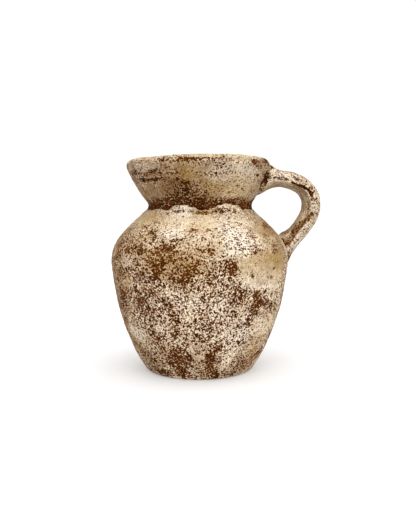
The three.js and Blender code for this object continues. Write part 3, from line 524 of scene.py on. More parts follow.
# Under the handle and opposite it the wear is scattered.
KINDS = [
    ((10, 100), (8, 20), (6, 14), dict(cover=0.28, rust=0.4)),
    ((10, 105), (10, 24), (6, 12), dict(cover=0.74, white=0.4)),
    ((20, 110), (12, 30), (8, 14), dict(cover=0.9, ochre=0.25, tan=0.15)),
    ((14, 80), (8, 14), (10, 20), dict(cover=0.16, rust=0.35)),
    ((112, 140), (8, 20), (4, 8), dict(cover=0.34, rust=0.5)),
    ((112, 160), (12, 26), (6, 10), dict(cover=0.93, white=0.75)),
    ((120, 160), (12, 26), (5, 9), dict(cover=0.95, ochre=0.4)),
    ((178, 205), (10, 24), (4, 9), dict(cover=0.92, grey=0.4, white=0.25, tan=0.2)),
    ((178, 203), (10, 22), (2, 5), dict(cover=0.35, tan=0.5, speck=0.8)),
    ((180, 204), (10, 20), (5, 8), dict(cover=0.94, ochre=0.55, tan=0.4)),
    ((209, 213), (8, 14), (1.6, 2.6), dict(cover=0.36, tan=0.4, rust=0.5)),
]
BACK = []
for _ in range(3):
    for heights, arcs, tall, sets in KINDS:
        for side in (0, 180):
            BACK.append(
                (
                    side + rng.uniform(-26, 26), rng.uniform(*heights), rng.uniform(*arcs),
                    rng.uniform(*tall), rng.uniform(-15, 15), sets,
                )
            )
# The far side wears in the same way as the front, in places of its own.
for angle, height, arc, tall, lean, sets in FRONT:
    # The blots in the handle's own corner have no match there.
    if rng.random() > 0.15 and not (angle > -33 and height > 180):
        stir = 5.0 if height < 160 else 0.6
        BACK.append(
            (
                angle + 186 + rng.uniform(-7, 7), height + rng.uniform(-stir, stir),
                arc * rng.uniform(0.8, 1.25), tall * rng.uniform(0.8, 1.25), -lean, sets,
            )
        )


def paint(layers, patches, theta, z, radius, p):
    warp_a = 2.8 * cloud(p, 11, 61, 3) + 1.5 * noise(p, 3.2, 67)
    warp_z = 2.4 * cloud(p, 11, 71, 3) + 1.4 * noise(p, 3.2, 73)
    for angle, height, arc, tall, lean, sets in patches:
        across = np.radians(turn(theta, angle)) * radius
        up = z - height
        near = (np.abs(across) < 2.6 * arc + 12) & (np.abs(up) < 2.6 * tall + arc + 8)
        if not near.any():
            continue
        k = min(1.0, min(arc, tall * 1.4) / 9.0)
        a = across[near] + k * warp_a[near]
        u = up[near] + k * warp_z[near]
        c, s = math.cos(math.radians(lean)), math.sin(math.radians(lean))
        a, u = a * c + u * s, u * c - a * s
        d = np.sqrt((a / arc) ** 2 + (u / tall) ** 2)
        soft = sets.get("soft", 0.2)
        w = smooth(1.32 + 0.8 * soft, 0.72 - soft, d)
        for name, value in sets.items():
            if name != "soft":
                layers[name][near] += (value - layers[name][near]) * w


def outside_layers(theta, z, p):
    """What the wash does at each place on the outside."""
    n = len(theta)
    radius = outer_radius(z)
    L = {name: np.zeros(n) for name in CHANNELS}
    neck = smooth(172, 178, z)
    shoulder = smooth(112, 128, z) * (1 - neck)
    belly = 1 - neck - shoulder
    L["cover"] += 0.56 * belly + 0.78 * shoulder + 0.87 * neck
    # The neck's heavy tan is partly painted shade on the flared neck, which faces down.
    L["tan"] += 0.14 * belly + 0.12 * shoulder + 0.75 * neck
    L["white"] += 0.5 * belly + 0.45 * shoulder + 0.12 * neck
    L["grey"] += 0.06 * belly + 0.04 * shoulder + 0.25 * neck
    L["ochre"] += 0.06 * belly + 0.16 * shoulder + 0.14 * neck
    L["speck"] += 0.08 * belly + 0.1 * shoulder + 0.4 * neck
    L["rust"] += 0.35 * belly + 0.45 * shoulder + 0.2 * neck
    paint(L, BACK, theta, z, radius, p)
    paint(L, FRONT, theta, z, radius, p)
    stray = 1.6 * cloud(p, 9, 191, 2)
    for angle, height, arc, tall, more, warm in WEAR:
        across = np.radians(turn(theta, angle)) * radius + stray
        w = smooth(1.7, 0.2, np.hypot(across / arc, (z - height + 0.7 * stray) / tall))
        L["cover"] += more * w
        L["ochre"] += 0.5 * warm * w
        L["rust"] += 0.4 * warm * w
        L["white"] -= 0.5 * warm * w
        L["tan"] += 0.12 * warm * w
    # Wear gathers in clumps and, on the neck, along the brush.
    clump = cloud(p, 11, 81, 3)
    a = np.radians(theta)
    brush = cloud(np.stack([14 * np.cos(a), 14 * np.sin(a), z], 1), 4.5, 83, 2)
    busy = 1 - np.abs(2 * L["cover"] - 1) ** 2
    far = smooth(-0.3, 0.3, np.sin(a))
    L["cover"] += (0.1 + 0.1 * far) * clump * busy + 0.12 * brush * neck
    L["cover"] += (0.04 * belly + 0.05 * shoulder + 0.02 * neck) * busy
    least = 0.25 * (1 - neck)
    L["cover"] = np.where(L["cover"] < least, 0.125 + 0.5 * L["cover"], L["cover"])
    L["tan"] += 0.12 * cloud(p, 24, 89, 2) + 0.1 * brush * neck
    L["white"] += 0.16 * cloud(p, 20, 97, 2)
    # The rim's top is painted a clean cream line, partly rubbed wash and partly a painted highlight along the lip.
    top = smooth(211.6, 213.8, z) * (0.8 + 0.2 * noise(p, 5, 101))
    for angle, half, less in ((-31, 8, 0.95), (-116, 9, 0.6), (-88, 11, 0.4), (28, 7, 0.6), (110, 12, 0.5), (-175, 9, 0.5)):
        top = top * (1 - less * bell(turn(theta, angle), 0, half))
    for name, value in dict(cover=0.95, tan=0.05, white=0.3, ochre=0.3, speck=0.05, grey=0.0).items():
        L[name] += (value - L[name]) * top
    # Brown groove at the neck, between the two edges of the wash.
    low, high = wash_edge(theta, p), neck_edge(theta, p)
    groove = smooth(low - 0.5, low + 0.5, z) * smooth(high + 2.8, high - 2.0, z)
    ruddy = 0.24 + 0.56 * smooth(-66, -40, turn(theta, 0)) * smooth(60, 20, turn(theta, 0))
    bare = 0.05 + 0.24 * smooth(168, 177, z)
    for name, value in dict(cover=bare, speck=0.4, rust=ruddy, tan=0.6).items():
        L[name] += (value - L[name]) * groove
    # A painted highlight: the wash is whitened along the top of the lumps, just under its edge.
    brow = bell(z, low - 1.6, 1.8) * smooth(low + 0.4, low - 0.4, z)
    L["white"] += 0.45 * brow * (1 - L["white"])
    # The joint lines round the handle's two ends.
    y = radius * np.sin(np.radians(theta))
    ahead = np.abs(turn(theta, 0)) < 60
    for middle, tall, wide in ((196.6, 15.0, 22.0), (127.0, 15.5, 18.0)):
        d = (np.abs(y / wide) ** 3 + np.abs((z - middle) / tall) ** 3) ** (1 / 3)
        crease = ahead * bell(d, 1.0, 0.07) * (0.6 + 0.6 * noise(p, 6, 107))
        crease = crease * (smooth(134, 128, z) if middle < 150 else 0.35 + 0.65 * bell(z, 197, 7))
        for name, value in dict(cover=0.06, speck=0.7, rust=0.2).items():
            L[name] += (value - L[name]) * np.clip(crease, 0, 1)
    return L


def inside_layers(theta, z, p):
    """The inside is raw clay, with wash splashed over the rim."""
    n = len(theta)
    L = {name: np.zeros(n) for name in CHANNELS}
    depth = z + 7 * cloud(p * np.array([1, 1, 0.5]), 22, 113, 3)
    L["cover"] += 0.16 + 0.3 * smooth(168, 196, depth) + 0.36 * smooth(194, 208, depth)
    L["tan"] += 0.75 - 0.5 * smooth(188, 208, depth)
    L["grey"] += 0.2
    L["white"] += 0.2 * smooth(196, 210, depth)
    L["rust"] += 0.75
    L["speck"] += 0.15
    L["cover"] += 0.15 * cloud(p, 14, 127, 3)
    # The same cream line along the rim's top, partly a painted highlight along the lip.
    top = smooth(211.6, 213.8, z) * (0.8 + 0.2 * noise(p, 5, 101))
    for angle, half, less in ((-31, 8, 0.95), (-116, 9, 0.6), (-88, 11, 0.4), (28, 7, 0.6), (110, 12, 0.5), (-175, 9, 0.5)):
        top = top * (1 - less * bell(turn(theta, angle), 0, half))
    for name, value in dict(cover=0.95, tan=0.05, white=0.3, ochre=0.3, speck=0.05, grey=0.0).items():
        L[name] += (value - L[name]) * top
    return L


# ---------------------------------------------------------------- the surface
def lean_and_lift(p):
    """The pot's own crookedness, for the wall and the handle alike."""
    q = p.copy()
    theta = np.degrees(np.arctan2(p[:, 1], p[:, 0]))
    z = p[:, 2]
    q[:, 0] += -0.45 * np.clip(1 - z / 112, 0, 1) * smooth(0, 3, z + 3)
    high = smooth(186, 214, z)
    q[:, 2] += high * (
        0.8 * bell(turn(theta, 0), 0, 26)
        + 1.2 * bell(turn(theta, -50), 0, 24)
        - 0.7 * bell(turn(theta, -124), 0, 15)
        + 0.35 * bell(turn(theta, -82), 0, 20)
        + 0.3 * np.sin(np.radians(2 * theta + 40))
    )
    pinch = 1 - bell(turn(theta, 0), 0, 20) * (0.014 * smooth(203, 212, z) + 0.09 * smooth(206.5, 217.5, z))
    q[:, 0] *= pinch
    q[:, 1] *= pinch
    return q


def outside_height(theta, z, p):
    """How far the outside stands out from the plain profile."""
    foot = smooth(0.5, 8, z)
    d = 0.36 * cloud(p, 34, 3, 2) + 0.2 * cloud(p, 11, 5, 2) + 0.1 * cloud(p, 4.2, 7, 2)
    rings = np.sin(2 * math.pi * (z / 6.4 + 0.35 * cloud(p, 60, 11, 1)))
    d += 0.13 * rings * (0.5 + 0.5 * cloud(p, 40, 13, 1))
    # Two fine scored lines across the smooth patch on the shoulder's right.
    right = bell(turn(theta, -38), 0, 22)
    wave = 0.5 * np.sin(np.radians(theta * 3))
    d -= 0.3 * right * (bell(z, 112.6 + wave, 0.8) + 0.7 * bell(z, 106.5 + wave, 0.7))
    # The rim band is set off by two shallow grooves on the neck.
    d -= 0.35 * (bell(z, 200.4, 1.3) + 0.8 * bell(z, 194.6, 1.2)) * (
        0.25 + 0.75 * smooth(55, 30, np.abs(turn(theta, -150)))
    ) * (0.7 + 0.5 * noise(p, 14, 19))
    low = wash_edge(theta, p)
    near = smooth(158, 163, z) * smooth(178, 174, z)
    step = smooth(low + 0.6, low - 0.6, z)
    lump = 0.5 + 1.5 * smooth(166.0, 169.5, low)
    d += near * (lump * step * smooth(low - 8, low - 1.2, z) - 0.5 * (1 - step))
    d += 0.3 * near * step * cloud(p, 5.5, 23, 2)
    # The neck is a little drawn in under the handle, and fuller in the groove below.
    by_handle = bell(turn(theta, 0), 0, 48)
    d += by_handle * (1.0 * bell(z, 171, 4.5) - 0.9 * bell(z, 182.5, 6))
    return d * foot


def inside_height(theta, z, p):
    rings = np.sin(2 * math.pi * (z / 9.0 + theta / 360.0 + 0.3 * cloud(p, 50, 29, 1)))
    return 0.3 * rings * smooth(212, 204, z) + 0.3 * cloud(p, 26, 31, 2)


def wrap(points, side, displace):
    """Turns profile points into rows of places round the pot, with angle and height."""
    theta = np.degrees(np.arange(AROUND) / AROUND * 2 * math.pi) - 180.0
    count = len(points)
    t = np.tile(theta, count)
    r = np.repeat(points[:, 0], AROUND)
    z = np.repeat(points[:, 1], AROUND)
    along = np.gradient(points, axis=0)
    along /= np.maximum(np.hypot(along[:, 0], along[:, 1]), 1e-9)[:, None]
    nr, nz = np.repeat(along[:, 1], AROUND), np.repeat(-along[:, 0], AROUND)
    a = np.radians(t)
    p = np.stack([r * np.cos(a), r * np.sin(a), z], 1)
    if displace:
        d = outside_height(t, z, p) if side == "out" else inside_height(t, z, p)
        if side == "in":
            nr, nz = -nr, -nz
        q = np.stack([(r + d * nr) * np.cos(a), (r + d * nr) * np.sin(a), z + d * nz], 1)
    else:
        q = p
    return t, z, p, lean_and_lift(q)


# --------------------------------------------------------------------- meshes
def make_mesh(name, places, faces, layers, corners_uv, sharp_rows=None, across=0):
    me = bpy.data.meshes.new(name)
    me.from_pydata((places * 0.001).tolist(), [], faces)
    me.polygons.foreach_set("use_smooth", np.ones(len(me.polygons), bool))
    for key in CHANNELS:
        a = me.attributes.new(key, "FLOAT", "POINT")
        value = np.clip(layers[key], 0, 1)
        if key == "cover":
            value = level(value)
        a.data.foreach_set("value", value.astype(np.float32))
    uv = me.uv_layers.new(name="OFBake")
    uv.data.foreach_set("uv", np.asarray(corners_uv, np.float32).ravel())
    if sharp_rows is not None:
        e = np.empty(len(me.edges) * 2, np.int32)
        me.edges.foreach_get("vertices", e)
        e = e.reshape(-1, 2)
        row = e // across
        hard = (row[:, 0] == row[:, 1]) & np.isin(row[:, 0], sharp_rows)
        s = me.attributes.get("sharp_edge") or me.attributes.new("sharp_edge", "BOOLEAN", "EDGE")
        s.data.foreach_set("value", hard)
    me.update()
    ob = bpy.data.objects.new(name, me)
    bpy.context.scene.collection.objects.link(ob)
    return ob


def strips(u_count, rows, low, high, strip):
    """Corner places in the texture for a band of quads, cut into strips."""
    j = np.arange(u_count)
    each = u_count // strip
    k = np.minimum(j // each, strip - 1)
    size = np.where(k == strip - 1, u_count - each * (strip - 1), each)
    u0 = (j - k * each) / size
    u1 = (j - k * each + 1) / size
    tall = (high - low) / strip
    pad = 0.004
    out = []
    for i in range(rows):
        v0 = low + k * tall + pad + (tall - 2 * pad) * i / rows
        v1 = low + k * tall + pad + (tall - 2 * pad) * (i + 1) / rows
        a, b = 0.003 + 0.994 * u0, 0.003 + 0.994 * u1
        out.append(np.stack([np.stack([a, v0], 1), np.stack([b, v0], 1), np.stack([b, v1], 1), np.stack([a, v1], 1)], 1))
    return np.concatenate(out) if out else np.zeros((0, 4, 2))


def ring_piece(name, outside, inside, cut_strips):
    """A section of the wall: outside rows going up, then inside rows going down."""
    t, z, p, q = wrap(outside, "out", True)
    L = outside_layers(t, z, p)
    rows_out = len(outside)
    t2, z2, p2, q2 = wrap(inside, "in", len(inside) > 2)
    L2 = inside_layers(t2, z2, p2)
    places = np.vstack([q, q2])
    layers = {k: np.concatenate([L[k], L2[k]]) for k in CHANNELS}
    rows = rows_out + len(inside)
    j = np.arange(AROUND)
    nxt = (j + 1) % AROUND
    faces = []
    for i in range(rows):
        a, b = i * AROUND, ((i + 1) % rows) * AROUND
        faces.append(np.stack([a + j, a + nxt, b + nxt, b + j], 1))
    faces = np.concatenate(faces)
    n_in = len(inside) - 1
    uv = np.concatenate(
        [
            strips(AROUND, rows_out - 1, 0.0, 0.72, cut_strips),
            strips(AROUND, 1, 0.962, 0.98, 1),
            strips(AROUND, n_in, 0.725, 0.96, max(1, cut_strips - 1)),
            strips(AROUND, 1, 0.981, 0.999, 1),
        ]
    )
    sharp = [0, rows_out - 1, rows_out, rows - 1]
    return make_mesh(name, places, faces.tolist(), layers, uv, sharp, AROUND)


# --------------------------------------------------------------------- handle
HANDLE = [
    (56.0, 197.6, 15.2, 21.4), (69.0, 199.0, 11.7, 20.4), (76.5, 199.0, 9.7, 18.8),
    (85.8, 198.5, 8.2, 16.9), (96.7, 196.4, 8.5, 15.5), (106.4, 191.9, 8.9, 14.8),
    (112.5, 186.0, 9.3, 14.7), (115.9, 179.1, 9.4, 14.7), (117.0, 171.5, 9.4, 14.6),
    (115.9, 164.2, 9.4, 14.5), (112.8, 156.8, 9.3, 14.4), (108.3, 149.9, 9.2, 14.3),
    (102.6, 142.7, 9.2, 14.3), (96.4, 135.5, 9.4, 15.0), (90.2, 128.4, 10.4, 17.2),
    (82.6, 120.6, 12.2, 20.0),
]
SIDES = 112
LONG = 210


def handle_section(ridge):
    """The strap's section: round phi, 0 the outer face, 90 the front, 180 the inner
    face. A ridge at 115 parts the front from the inner face, which slants back."""
    inner = 1 + ridge
    knots = [0, 22, 45, 68, 92, 115, 128, 146, 164, 180]
    across = [1, 0.95, 0.79, 0.52, 0.29 + 0.5 * ridge, ridge, ridge - 0.24 * inner, ridge - 0.58 * inner, ridge - 0.87 * inner, -1]
    ahead = [0, 0.46, 0.8, 0.98, 1.03, 1.0, 0.9, 0.66, 0.34, 0]
    fine = np.arange(720) / 2.0
    half = np.where(fine > 180, 360 - fine, fine)
    u = np.interp(half, knots, across)
    v = np.interp(half, knots, ahead) * np.where(fine > 180, -1, 1)
    reach = np.arange(-16, 17)
    weight = np.exp(-((reach / 7.0) ** 2))
    weight /= weight.sum()
    u = sum(w * np.roll(u, k) for k, w in zip(reach, weight))
    v = sum(w * np.roll(v, k) for k, w in zip(reach, weight))
    at = np.round(np.arange(SIDES) / SIDES * 720).astype(int) % 720
    return u[at], v[at]


def handle_surface():
    line = catmull(HANDLE, 60)
    tangent = np.gradient(line[:, :2], axis=0)
    tangent /= np.hypot(tangent[:, 0], tangent[:, 1])[:, None]
    n = len(line)
    t = np.linspace(0, 1, n)
    phi = np.arange(SIDES) / SIDES * 360.0
    ridge = np.interp(t, [0.03, 0.09, 0.16, 0.25, 0.42, 0.6, 0.75, 0.9], [-0.46, -0.38, -0.35, -0.4, -0.32, -0.24, -0.08, 0.0])
    low, high = handle_section(-0.8), handle_section(0.0)
    share = ((ridge + 0.8) / 0.8)[:, None]
    ca = low[0][None] + (high[0] - low[0])[None] * share
    sa = low[1][None] + (high[1] - low[1])[None] * share
    x = line[:, None, 0] - tangent[:, None, 1] * line[:, None, 2] * ca
    z = line[:, None, 1] + tangent[:, None, 0] * line[:, None, 2] * ca
    y = -line[:, None, 3] * sa
    return t, phi, x, y, z


def build_handle():
    t, phi, x, y, z = handle_surface()
    outside = np.hypot(x, y) - outer_radius(z)
    rows = np.linspace(0, 1, LONG)
    # Rows are closer together at the ends.
    s = rows - 0.10 * np.sin(2 * math.pi * rows) / math.pi
    P = np.zeros((LONG, SIDES, 3))
    T = np.zeros((LONG, SIDES))
    for k in range(SIDES):
        # Walk out from the middle to each end until the wall is 3 mm deep.
        i = j = len(t) // 2
        while i > 0 and outside[i, k] > -3.0:
            i -= 1
        while j < len(t) - 1 and outside[j, k] > -3.0:
            j += 1
        T[:, k] = t[i] + (t[j] - t[i]) * s
        for m, grid in enumerate((x, y, z)):
            P[:, k, m] = np.interp(T[:, k], t, grid[:, k])
    return T, np.tile(phi, (LONG, 1)), P


def spot(T, F, t0, f0, ht, hf):
    return np.sqrt(((T - t0) / ht) ** 2 + (turn(F, f0) / hf) ** 2)


HANDLE_PATCHES = [
    # along, round, half along, half round, what it sets
    (0.16, 80, 0.07, 45, dict(cover=0.9, white=0.7, grey=0.25, tan=0.04, speck=0.75)),
    (0.18, 102, 0.055, 12, dict(cover=0.5, speck=1.0, grey=0.4)),
    (0.1, 44, 0.018, 15, dict(cover=0.0, rust=1.0)),
    (0.24, 76, 0.04, 26, dict(cover=0.9, white=0.95, speck=0.3)),
    (0.29, 82, 0.03, 14, dict(cover=0.34, rust=0.9)),
    (0.35, 84, 0.05, 22, dict(cover=0.74, white=0.6, speck=0.5)),
    (0.43, 96, 0.028, 15, dict(cover=0.06, rust=0.5)),
    (0.55, 80, 0.07, 36, dict(cover=0.78, white=0.6, speck=0.85, tan=0.16, grey=0.35)),
    # Painted shade on the strap's outer lower side.
    (0.655, 66, 0.05, 26, dict(tan=0.4, grey=0.5, white=0.3)),
    (0.77, 68, 0.075, 30, dict(cover=0.88, white=0.55, grey=0.5, tan=0.22)),
    (0.66, 160, 0.09, 20, dict(cover=0.97, tan=0.1, ochre=0.5, rust=0.6)),
    (0.85, 86, 0.011, 9, dict(cover=0.1, rust=0.3, speck=0.8)),
    (0.92, 74, 0.07, 34, dict(cover=0.95, white=0.6, grey=0.6, tan=0.1)),
    # Tan on the strap's underside in the lower corner, partly painted shade.
    (0.858, 176, 0.024, 24, dict(cover=0.9, tan=0.8, rust=0.7)),
    # The web in the lower corner is painted white, partly as painted light where it faces the light.
    (0.914, 163, 0.022, 22, dict(cover=0.99, tan=0.0, white=0.95, rust=0.7, grey=0.0, ochre=0.1)),
    (0.93, 140, 0.02, 14, dict(cover=0.2, rust=1.0, tan=0.9)),
    # A black dot stands for the painted shade inside a small pit at the lower joint.
    (0.911, 149, 0.009, 7, dict(cover=0.0, rust=0.0, speck=1.0)),
]
# Lines along the handle: from, to, angle at each end, half width, strength, what they set.
BARE = dict(cover=0.14, rust=0.4, speck=0.4)
BLACK = dict(cover=0.02, rust=0.0, speck=0.7)
SMEAR = dict(cover=0.45, tan=0.8, ochre=0.3, rust=1.0, white=0.0, grey=0.0, speck=0.2)
# Tan lines along the strap; the one under the ridge is painted shade.
TAN_STREAK_AND_SHADE = dict(tan=0.95)
# A pale line on the raised ridge, partly its own wash and partly a painted highlight along the ridge.
PALE_RIDGE_HIGHLIGHT = dict(cover=0.99, white=0.7, tan=0.1, grey=0.0, ochre=0.2, speck=0.0)
HANDLE_LINES = [
    (0.12, 0.34, 148, 152, 6.0, 0.6, TAN_STREAK_AND_SHADE),
    # Painted shade under the ridge on the inner face.
    (0.27, 0.43, 134, 130, 13.0, 0.9, TAN_STREAK_AND_SHADE),
    (0.34, 0.50, 154, 158, 6.0, 0.6, TAN_STREAK_AND_SHADE),
    (0.255, 0.315, 110, 113, 5.0, 1.0, BLACK),
    (0.305, 0.375, 113, 105, 7.5, 1.0, BLACK),
    (0.365, 0.425, 105, 96, 7.0, 1.0, BLACK),
    (0.42, 0.485, 95, 102, 7.0, 0.9, BARE),
    (0.50, 0.63, 134, 134, 3.0, 0.7, BARE),
    (0.60, 0.655, 92, 111, 11.0, 1.0, SMEAR),
    (0.645, 0.71, 111, 125, 14.5, 1.0, SMEAR),
    (0.70, 0.79, 127, 137, 13.0, 1.0, SMEAR),
    (0.775, 0.86, 136, 128, 13.0, 1.0, SMEAR),
    (0.85, 0.92, 126, 124, 11.0, 1.0, SMEAR),
    (0.70, 0.86, 158, 154, 7.0, 0.6, TAN_STREAK_AND_SHADE),
    # Pale line on the raised ridge, partly a painted highlight.
    (0.81, 0.90, 148, 146, 2.2, 1.0, PALE_RIDGE_HIGHLIGHT),
    (0.905, 0.945, 122, 136, 6.0, 1.0, dict(cover=0.06, rust=1.0)),
]


def handle_layers(T, F, p):
    n = len(T)
    L = {name: np.zeros(n) for name in CHANNELS}
    c = np.cos(np.radians(F))
    outer = smooth(0.45, 0.85, c)
    inner = smooth(-0.40, -0.52, c)
    # The outer face and the inner face are painted darker and browner than the front, partly the strap's own colour and
    # partly painted shade where they turn from the light.
    L["cover"] += 0.88 + 0.05 * outer + 0.11 * inner
    L["white"] += 0.5 - 0.2 * outer - 0.42 * inner
    L["ochre"] += 0.08 + 0.32 * outer + 0.46 * inner
    L["tan"] += 0.12 + 0.2 * outer + 0.34 * inner + 0.4 * smooth(0.8, 0.95, c)
    L["grey"] += 0.26 - 0.14 * outer + 0.06 * inner
    L["speck"] += 0.4 - 0.25 * outer - 0.32 * inner
    L["rust"] += 0.35
    warp_t = 0.012 * cloud(p, 9, 131, 3)
    warp_f = 9 * cloud(p, 9, 137, 3)
    for t0, f0, ht, hf, sets in HANDLE_PATCHES:
        w = smooth(1.3, 0.7, spot(T + warp_t, F + warp_f, t0, f0, ht, hf))
        for name, value in sets.items():
            L[name] += (value - L[name]) * w
    # The far side has marks of its own.
    for t0, f0, ht, hf, sets in HANDLE_PATCHES:
        w = smooth(1.3, 0.7, spot(T + warp_t, F + warp_f, 1.03 - t0, 360 - f0, ht, hf))
        for name, value in sets.items():
            L[name] += (value - L[name]) * w
    for a, b, fa, fb, half, deep, sets in HANDLE_LINES:
        for mirror in (0, 1):
            tt = 1.05 - T if mirror else T
            ff = 360 - F if mirror else F
            f0 = fa + (fb - fa) * np.clip((tt - a) / (b - a), 0, 1)
            w = smooth(a - 0.012, a + 0.012, tt) * smooth(b + 0.012, b - 0.012, tt)
            w = w * smooth(1.5, 0.6, np.abs(turn(ff + 0.5 * warp_f, f0)) / half) * deep
            w = np.clip(w * (0.9 + 0.5 * cloud(p, 5, 139, 2)), 0, 1)
            for name, value in sets.items():
                L[name] += (value - L[name]) * w
    clump = cloud(p, 8, 149, 3)
    L["cover"] += 0.08 * clump * (1 - inner)
    a = np.radians(F)
    streak = cloud(np.stack([T * 20, 11 * np.cos(a), 11 * np.sin(a)], 1), 4, 155, 3)
    L["tan"] += 0.08 * cloud(p, 14, 151, 2) + (0.3 * inner + 0.22 * outer) * streak
    L["ochre"] += 0.25 * inner * cloud(p, 12, 159, 2)
    # Bare clay in the joints.
    gap = np.hypot(p[:, 0], p[:, 1]) - outer_radius(p[:, 2])
    upper = T < 0.5
    side = np.where(F > 180, 360 - F, F)
    strong = bell(p[:, 2], 195.8, 4.4)
    wide = np.where(upper, 1.2 + 3.6 * strong, 1.8)
    joint = smooth(1.0, 0.3, (gap + 1.0 * cloud(p, 6, 157, 2)) / wide)
    joint = joint * np.where(upper, smooth(40, 70, side) * (0.3 + 0.7 * smooth(158, 138, side)) * (0.4 + 0.6 * strong), smooth(35, 60, side) * smooth(140, 122, side))
    for name, value in dict(cover=0.02, speck=0.9, rust=np.where(upper, 0.0, 0.4)).items():
        L[name] += (value - L[name]) * joint
    root = np.where(upper, 0.0, smooth(13, 0, gap + 3 * cloud(p, 9, 179, 2)) * smooth(105, 60, side))
    L["cover"] -= 0.3 * root
    L["white"] += 0.2 * root
    return L


def handle_piece(name):
    T, F, P = build_handle()
    p = P.reshape(-1, 3)
    # The normal of the sweep, from its own grid.
    du = np.gradient(P, axis=0)
    dv = np.roll(P, -1, 1) - np.roll(P, 1, 1)
    nrm = np.cross(dv, du).reshape(-1, 3)
    nrm /= np.maximum(np.linalg.norm(nrm, axis=1), 1e-9)[:, None]
    middle = P.mean(1, keepdims=True)
    if ((P - middle).reshape(-1, 3) * nrm).sum() < 0:
        nrm = -nrm
    t, f = T.ravel(), F.ravel()
    L = handle_layers(t, f, p)
    d = 0.35 * cloud(p, 18, 163, 2) + 0.2 * cloud(p, 6, 167, 2) + 0.08 * noise(p, 2.6, 173)
    # A pulled strap: shallow finger grooves along it, a lip on the ridge at each side,
    # and a web of clay pressed into the lower corner.
    side = np.where(f > 180, 360 - f, f)
    d += 0.3 * np.cos(np.radians(3 * f)) * np.sin(7 * t)
    d += 0.5 * bell(side, 115, 7) * smooth(0.2, 0.3, t) * smooth(0.97, 0.9, t)
    d -= 0.5 * bell(side, 132 + 6 * np.sin(12 * t), 7) * smooth(0.15, 0.3, t)
    d += 0.5 * bell(side, 148, 6) * smooth(0.3, 0.45, t)
    d += 3.4 * bell(t, 0.885, 0.042) * smooth(120, 165, side)
    gap = np.hypot(p[:, 0], p[:, 1]) - outer_radius(p[:, 2])
    d += (3.0 * bell(side, 134, 22) + 1.5 * smooth(140, 172, side)) * bell(gap, -1, 6.0) * (t < 0.5)
    d += 4.0 * bell(gap, 0, 5.0) * smooth(78, 38, side) * (t < 0.5)
    d += 1.2 * bell(gap, -1, 4.0) * smooth(70, 30, side) * (t > 0.5)
    d -= 2.6 * smooth(0.84, 0.98, t) * smooth(12, 52, side) * smooth(96, 70, side)
    for a, b, fa, fb, half, deep, sets in HANDLE_LINES:
        if sets is TAN_STREAK_AND_SHADE:
            continue
        f0 = fa + (fb - fa) * np.clip((t - a) / (b - a), 0, 1)
        w = smooth(a - 0.012, a + 0.012, t) * smooth(b + 0.012, b - 0.012, t)
        dip = -0.5 if sets is PALE_RIDGE_HIGHLIGHT else 0.35
        d -= dip * deep * w * smooth(1.4, 0.5, np.abs(turn(f, f0)) / half)
    q = p + nrm * d[:, None]
    q = lean_and_lift(q)
    ends = [q.reshape(LONG, SIDES, 3)[0].mean(0), q.reshape(LONG, SIDES, 3)[-1].mean(0)]
    places = np.vstack([q, ends])
    layers = {k: np.concatenate([L[k], [0.1, 0.1]]) for k in CHANNELS}
    j = np.arange(SIDES)
    nxt = (j + 1) % SIDES
    quads = []
    for i in range(LONG - 1):
        a, b = i * SIDES, (i + 1) * SIDES
        quads.append(np.stack([a + j, a + nxt, b + nxt, b + j], 1))
    quads = np.concatenate(quads)
    first, last = LONG * SIDES, LONG * SIDES + 1
    fans = [[int(n_), int(k), first] for k, n_ in zip(j, nxt)]
    base = (LONG - 1) * SIDES
    fans += [[int(base + k), int(base + n_), last] for k, n_ in zip(j, nxt)]
    faces = quads.tolist() + fans
    u = np.repeat(np.arange(LONG - 1), SIDES) / (LONG - 1)
    du_ = 1 / (LONG - 1)
    v = np.tile(j, LONG - 1) / SIDES * 0.93
    dv_ = 0.93 / SIDES
    uv = np.stack(
        [np.stack([u, v], 1), np.stack([u, v + dv_], 1), np.stack([u + du_, v + dv_], 1), np.stack([u + du_, v], 1)], 1
    ) * 0.996 + 0.002
    ang = np.radians(np.arange(SIDES + 1) / SIDES * 360)
    fan_uv = []
    for cx in (0.1, 0.3):
        ring_uv = np.stack([cx + 0.03 * np.cos(ang), 0.967 + 0.03 * np.sin(ang)], 1)
        for k in range(SIDES):
            fan_uv += [ring_uv[k + 1], ring_uv[k], (cx, 0.967)]
    corners = np.vstack([uv.reshape(-1, 2), np.array(fan_uv)])
    # Winding: make the faces look outwards.
    mid_q = quads[(LONG // 2) * SIDES]
    a, b, c_ = (places[mid_q[k]] for k in range(3))
    centre = q.reshape(LONG, SIDES, 3)[LONG // 2].mean(0)
    if np.cross(b - a, c_ - a) @ (a - centre) < 0:
        faces = [list(reversed(fc)) for fc in faces]
        quad_uv = uv[:, ::-1].reshape(-1, 2)
        tri_uv = np.array(fan_uv).reshape(-1, 3, 2)[:, ::-1].reshape(-1, 2)
        corners = np.vstack([quad_uv, tri_uv])
    return make_mesh(name, places, faces, layers, corners)


